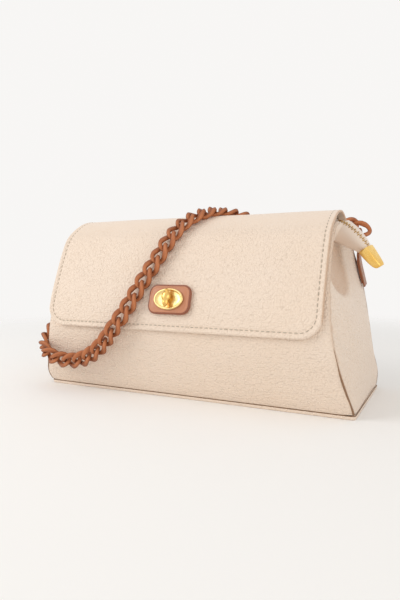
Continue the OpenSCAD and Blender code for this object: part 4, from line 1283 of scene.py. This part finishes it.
KNOB_PROFILE = (
    (-7.4, 0.4, 1.5), (-7.1, 1.0, 1.3), (-6.2, 1.7, 1.1), (-4.8, 2.3, 0.8), (-3.2, 2.5, 0.9),
    (-2.4, 2.35, 1.1), (-1.4, 3.1, 0.6), (0.0, 3.95, 0.2), (1.4, 4.05, 0.05), (2.8, 3.85, 0.2),
    (4.2, 3.0, 0.6), (5.1, 2.0, 1.0), (5.8, 1.55, 1.3), (6.6, 1.5, 1.4), (7.2, 1.1, 1.5),
    (7.5, 0.4, 1.6),
)
SHANK_WIDTH, SHANK_SIDES = 4.0, 24
SHANK_LEVELS = (
    (0.3, -3.0), (0.0, -2.8), (0.0, KNOB_BASE + 0.4), (-0.6, KNOB_BASE + 0.9), (-0.9, KNOB_BASE + 1.6),
)
patch_leather = leather_material(
    "terracotta patch leather", (0.56, 0.24, 0.13), (0.5, 0.2, 0.1), (0.36, 0.13, 0.06),
    1500.0, 0.05, 0.36, 0.05,
)
patch_edge = leather_material(
    "terracotta edge paint", (0.3, 0.1, 0.05), (0.25, 0.08, 0.04), (0.2, 0.06, 0.03),
    1500.0, 0.04, 0.3, 0.05,
)
brushed_gold = gold_material("brushed gold plating", (0.86, 0.67, 0.33), (0.78, 0.56, 0.22), 0.26)
lock_share = height_share(LOCK_HEIGHT)
lock_point = wall_at(FRONT, lock_share, FLAP_GAP + FLAP_TOTAL)
lock_out = wall_out(FRONT, lock_share)
lock_place = Matrix((
    (1, 0, 0, 0),
    (0, lock_out[1], lock_out[0], lock_point[0]),
    (0, -lock_out[0], lock_out[1], lock_point[1]),
    (0, 0, 0, 1),
))


def lock_at(rise):
    """The lock's own axes, at a height above the flap's face."""
    return lock_place @ Matrix.Translation((0, 0, rise))


def oval_stack(name, levels, width, height, place, steps=64):
    """A solid of ovals, from levels of (inset, height)."""
    rings = []
    for inset, rise in levels:
        a, b = width / 2 - inset, height / 2 - inset
        rings.append([place @ Vector((a * math.cos(t), b * math.sin(t), rise)) for t in around(steps)])
    return loft(name, rings)


patch = rounded_slab(
    "lock_patch_leather", PATCH_WIDTH, PATCH_HEIGHT, PATCH_CORNER, PATCH_LEVELS, lock_at(PATCH_BASE),
)
finish(patch, patch_leather, "flap", "leather_brown", "lock_patch")
rim_outline = rounded_outline(
    PATCH_WIDTH - 2 * RIM_INSET, PATCH_HEIGHT - 2 * RIM_INSET, PATCH_CORNER - RIM_INSET,
)
rim_line = [lock_at(PATCH_BASE + RIM_HEIGHT) @ Vector((x, y, 0)) for x, y in rim_outline]
patch_rim = tube("lock_patch_painted_edge", rim_line, [RIM_RADIUS] * len(rim_line), 12, True)
finish(patch_rim, patch_edge, "flap", "leather_brown")
plate = oval_stack("lock_plate_metal", PLATE_LEVELS, PLATE_WIDTH, PLATE_HEIGHT, lock_at(PLATE_BASE))
finish(plate, brushed_gold, "flap", "gold_metal", "lock_plate")

knob_rings = []
for along, radius, lift in KNOB_PROFILE:
    ring = []
    for angle in around(KNOB_SIDES):
        swell = math.sin(angle) * (1 if math.sin(angle) > 0 else 0.55)
        rise = KNOB_BASE + KNOB_AXIS + lift * 0.3 + min(radius, KNOB_THICKEST) * 0.95 * swell
        ring.append(lock_place @ Vector((radius * math.cos(angle), along, rise)))
    knob_rings.append(ring)
knob = face_outward(loft("turn_knob_metal", knob_rings))
finish(knob, deep_gold, "knob", "gold_metal", "turn_knob")
shank = oval_stack("knob_shank_metal", SHANK_LEVELS, SHANK_WIDTH, SHANK_WIDTH, lock_place, SHANK_SIDES)
finish(shank, deep_gold, "knob", "gold_metal")
washer = eased_copy("lock_back_washer", "lock_back_plate", 0.1)
finish(washer, pale_gold, "flap", "gold_metal", "lock_back_plate")
catch = eased_copy("lock_catch_disc", "lock_catch", 0.2)
finish(catch, pale_gold, "bag", "gold_metal", "lock_catch")


# Each ring is held by a strap of chestnut leather, folded round the ring's wire and sewn down
# along the back of the gusset.
RING_WIRE, RING_R = 3.2, 7.6
RING_STEPS, RING_SIDES = 56, 14
CHAIN_WIDTH = 14.0
TAB_WIDTH, TAB_LENGTH, TAB_THICK, TAB_LOOP, TAB_LEAN = 12.0, 34.0, 2.4, 6.6, 8.0
TAB_ANGLE = math.radians(18)
TAB_LAYER = TAB_THICK / 2 - 0.05
OUTER_STEPS, LOOP_STEPS, INNER_STEPS, TAB_STITCH_STEPS = 21, 14, 15, 39
axis_y, axis_z = wall_at(BACK, HINGE_SHARE, FLAP_GAP + FLAP_TOTAL + 0.3)
ring_half = gusset_half(height_share(axis_z - 2 * RING_R), 0.8) + CHAIN_WIDTH / 2 + 0.3
tab_down = np.array([0, math.sin(TAB_ANGLE), -math.cos(TAB_ANGLE)])
tab_top = np.array([0, axis_y, axis_z]) + RING_R * tab_down
loop_radius = RING_WIRE / 2 + 0.3 + TAB_LAYER / 2
chestnut_leather = leather_material(
    "chestnut tab leather", (0.34, 0.125, 0.055), (0.27, 0.09, 0.04), (0.15, 0.05, 0.025),
    1500.0, 0.06, 0.4, 0.05,
)


def tab_spot(side, q, height):
    """A point of a tab at a share of its length down the gusset, off the gusset's face."""
    y, z = tab_top[1] + q * TAB_LEAN, tab_top[2] - q * TAB_LENGTH
    s = height_share(z)
    front_y, back_y = (depth_at(face, s, LEATHER + SEAM_GAP) for face in (FRONT, BACK))
    seat = gusset_half(s, min(1, (y - front_y) / (back_y - front_y))) + 0.3
    down = min(1, q / 0.32)
    out = max(seat, (1 - down) * (ring_half - TAB_THICK / 2) + down * seat)
    return np.array([side * (out + height), y, z])


def tab_width(q):
    return TAB_LOOP + (TAB_WIDTH - TAB_LOOP) * min(1, q * 3)


def leather_strip(name, steps, thick):
    """A strip through steps of (point, outward, width), rounded at its edges."""
    rings = []
    for k, (point, out, width) in enumerate(steps):
        ahead, behind = steps[min(k + 1, len(steps) - 1)][0], steps[max(k - 1, 0)][0]
        run, out, side = square_axes(ahead - behind, out)
        section = rounded_outline(width, thick, min(0.45, thick * 0.45), 3)
        rings.append([point + a * side + b * out for a, b in section])
    return face_outward(loft(name, rings))


for side, label in ((-1, "left"), (1, "right")):
    tab_steps = []
    for q in np.linspace(1, 0.1, OUTER_STEPS + 1):
        spot = tab_spot(side, q, TAB_THICK - TAB_LAYER / 2)
        tab_steps.append((spot, (side, 0, 0), tab_width(q)))
    for angle in np.radians(np.linspace(-35, 215, LOOP_STEPS + 1)):
        out = np.array([side * math.cos(angle), 0, 0]) - tab_down * math.sin(angle)
        spot = tab_top + (side * ring_half, 0, 0) + loop_radius * out
        tab_steps.append((spot, out, TAB_LOOP))
    for q in np.linspace(0.12, 0.9, INNER_STEPS + 1):
        tab_steps.append((tab_spot(side, q, TAB_LAYER / 2), (-side, 0, 0), tab_width(q) - 0.5))
    tab = leather_strip("tab_%s_leather" % label, tab_steps, TAB_LAYER)
    finish(tab, chestnut_leather, "bag", "leather_brown", "tab_%s" % label)
    tab_stitches = []
    for edge in (-1, 1):
        across = (0, edge * (TAB_WIDTH / 2 - 1.6), 0)
        shares = np.linspace(0.94, 0.32, TAB_STITCH_STEPS + 1)
        row = [tab_spot(side, q, TAB_THICK + 0.02) + across for q in shares]
        tab_stitches += [(middle, run, (side, 0, 0)) for middle, run in along_line(row, STITCH_PITCH)]
    stitch_row("tab_%s_stitches" % label, tab_stitches, "bag")


# The chain is moulded in terracotta resin. Its links are flat-sided, twisted from end to end so
# that they lie flat together, and a little rubbed on their high sides. Their edges that turn
# away from the camera are painted darker as shade.
LINK_REACH, LINK_ACROSS, LINK_WIRE = 8.5, 5.2, 3.6
LINK_STEPS, LINK_SIDES = 40, 12
LINK_POWER, LINK_TWIST = 2.6, -58.0
LINK_BROAD, LINK_BROAD_REACH = 0.42, 3.4
CHAIN_NODES = ("chain_side", "chain_front", "chain_flap", "chain_top")
SIDE_SHIFT, SIDE_SHIFT_HEIGHT, SIDE_SHIFT_REACH = 6.5, 60.0, 28.0
CROWN_HEIGHT, CROWN_MIDDLE = 140.0, (-3.0, 127.0)
ON_CROWN_FROM, ON_CROWN_TO = 2.0, 124.0
LAST_LINK = ((0.85, -0.26, -0.46), (0.31, 0.95, 0.04))
CHAIN_SAG = (
    (-4.0, 0.0, 0.0), (0.6, -0.2, -1.0), (6.0, 0.0, -1.6), (12.3, 4.0, -1.9), (20.0, 8.5, -3.0),
    (29.4, 12.5, -5.2), (39.4, 13.5, -7.2), (50.0, 12.3, -7.6), (62.0, 11.2, -7.7), (74.0, 10.4, -8.0),
    (86.0, 9.9, -8.3), (98.6, 11.0, -8.6), (110.8, 12.9, -7.6), (122.3, 12.1, -3.8),
    (131.7, 10.6, -1.5),
)

rubbed, rubbed_in, rubbed_out = new_group(
    "rubbed resin",
    {"Body": (0.5, 0.17, 0.065), "Rubbed": (0.64, 0.25, 0.11), "Dark": (0.36, 0.11, 0.04)},
    {"Color": "Color", "Height": "Float"},
)
rubbed_place = object_place(rubbed)
resin_cloud = ramp(rubbed, noise(rubbed, rubbed_place, 120.0, 4.0), 0.35, 0.65)
resin_tone = mix_color(rubbed, resin_cloud, rubbed_in["Body"], rubbed_in["Dark"])
high_sides = ramp(rubbed, shader_node(rubbed, "NewGeometry").outputs["Pointiness"], 0.52, 0.6)
join(rubbed, mix_color(rubbed, high_sides, resin_tone, rubbed_in["Rubbed"]), rubbed_out["Color"])
join(rubbed, noise(rubbed, rubbed_place, 2200.0), rubbed_out["Height"])
resin, resin_tree, resin_shader = plain_material("terracotta resin", (0.5, 0.2, 0.09), 0.5)
resin_texture = shader_node(resin_tree, "Group", {}, node_tree=rubbed).outputs
# Where a link's surface turns away from the camera its colour is mixed towards a near black brown:
# painted shade at the links' edges.
turned_away_shade = shader_node(resin_tree, "LayerWeight", {"Blend": 0.35}).outputs["Facing"]
resin_color_with_painted_shade = mix_color(resin_tree, turned_away_shade, resin_texture["Color"], (0.13, 0.03, 0.01))
join(resin_tree, resin_color_with_painted_shade, resin_shader.inputs["Base Color"])
raise_grain(resin_tree, resin_shader, resin_texture["Height"], 0.06, 0.35)
join(resin_tree, 0.28, resin_shader.inputs["Specular IOR Level"])


def link_frames(node):
    """Middle, direction and flat side of each link of a CAD node, from its separate solids."""
    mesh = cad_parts[node].data
    keys, index = {}, []
    for vertex in mesh.vertices:
        spot = tuple(np.round(np.array(vertex.co, float) / MM, 3))
        index.append(keys.setdefault(spot, len(keys)))
    parent = list(range(len(keys)))

    def root(a):
        while parent[a] != a:
            parent[a] = parent[parent[a]]
            a = parent[a]
        return a

    for edge in mesh.edges:
        a, b = root(index[edge.vertices[0]]), root(index[edge.vertices[1]])
        parent[a] = b
    groups = {}
    for point, key in keys.items():
        groups.setdefault(root(key), []).append(point)
    frames = []
    for group in groups.values():
        cloud = np.array(group)
        middle = cloud.mean(axis=0)
        axes = np.linalg.eigh(np.cov((cloud - middle).T))[1]
        run, side, up = axes[:, 2], axes[:, 1], axes[:, 0]
        frames.append((middle, run, -up if np.dot(np.cross(run, side), up) < 0 else up))
    return frames


def signed_power(value, power):
    return math.copysign(abs(value) ** power, value)


def link_line(k):
    """A point of the twisted oval that a link's wire follows."""
    angle = 2 * math.pi * (k + 0.5) / LINK_STEPS
    x = LINK_REACH * signed_power(math.cos(angle), 2 / LINK_POWER)
    r = LINK_ACROSS * signed_power(math.sin(angle), 2 / LINK_POWER)
    turn = math.radians(LINK_TWIST) * x / LINK_REACH
    return np.array([x, r * math.cos(turn), r * math.sin(turn)])


def way_shift(middle):
    """The chain lies closer to the left gusset, and on the crown it has slipped back."""
    x, y, z = middle
    if z > CROWN_HEIGHT and x > CHAIN_SAG[0][0]:
        places, back, up = zip(*CHAIN_SAG)
        return np.array([0, np.interp(x, places, back), np.interp(x, places, up)])
    if x < -125:
        near = math.exp(-((z - SIDE_SHIFT_HEIGHT) / SIDE_SHIFT_REACH) ** 2)
        return np.array([SIDE_SHIFT * near, 0, 0])
    return np.zeros(3)


link_points = []
for k in range(LINK_STEPS):
    p = link_line(k)
    run = link_line(k + 1) - link_line(k - 1)
    run /= np.linalg.norm(run)
    side = np.cross(run, p)
    side /= np.linalg.norm(side)
    out = np.cross(side, run)
    broad = 1 + LINK_BROAD * math.exp(-(p[0] / LINK_BROAD_REACH) ** 2)
    for angle in around(LINK_SIDES):
        a = LINK_WIRE / 2 * signed_power(math.cos(angle), 0.66)
        b = LINK_WIRE / 2 * signed_power(math.sin(angle), 0.66)
        link_points.append(p + a * out * 0.95 * broad + b * side * 0.92)

waiting = [(node, *link) for node in CHAIN_NODES for link in link_frames(node)]
last = np.array((-ring_half, axis_y, axis_z))
way = []
while waiting:
    waiting.sort(key=lambda link: np.linalg.norm(link[1] - last))
    way.append(waiting.pop(0))
    last = way[-1][1]
places = np.array([middle + way_shift(middle) for node, middle, run, up in way])
lies = []
for (node, middle, run, up), place in zip(way, places):
    if lies and np.dot(up, lies[-1]) < 0:
        up = -up
    on_crown = unit((middle[0] - ON_CROWN_FROM) / 12) * unit((ON_CROWN_TO - middle[0]) / 14)
    if middle[2] > CROWN_HEIGHT and on_crown > 0:
        over = np.array([0, *(place[1:] - CROWN_MIDDLE)])
        over /= np.linalg.norm(over)
        over = over if np.dot(over, up) > 0 else -over
        up = up * (1 - on_crown) + over * on_crown
    lies.append(up / np.linalg.norm(up))
reaches = lengths_along(places)

chain_parts = {node: ([], []) for node in CHAIN_NODES}
for k, (link, at) in enumerate(zip(way, np.linspace(0, reaches[-1], len(way)))):
    middle, up = spot_at(at, reaches, places), spot_at(at, reaches, lies)
    run = spot_at(at + 5, reaches, places) - spot_at(at - 5, reaches, places)
    if k == 0:
        run = link[2] if np.dot(link[2], run) > 0 else -link[2]
    if k == len(way) - 1:
        run, up = LAST_LINK
    run, up, side = square_axes(run, up)
    points, faces = chain_parts[link[0]]
    faces += ring_faces(LINK_STEPS, LINK_SIDES, len(points), True)
    points += [middle + p[0] * run - p[1] * side + p[2] * up for p in link_points]
for node, (points, faces) in chain_parts.items():
    finish(face_outward(put(node + "_links", points, faces)), resin, "strap", "chain_plastic", node)
for label, side in (("left", -1), ("right", 1)):
    circle = [
        (side * ring_half, axis_y + RING_R * math.cos(angle), axis_z + RING_R * math.sin(angle))
        for angle in around(RING_STEPS)
    ]
    ring = tube("ring_%s_resin" % label, circle, [RING_WIRE / 2] * RING_STEPS, RING_SIDES, True)
    finish(face_outward(ring), resin, "strap", "chain_plastic", "ring_%s" % label)
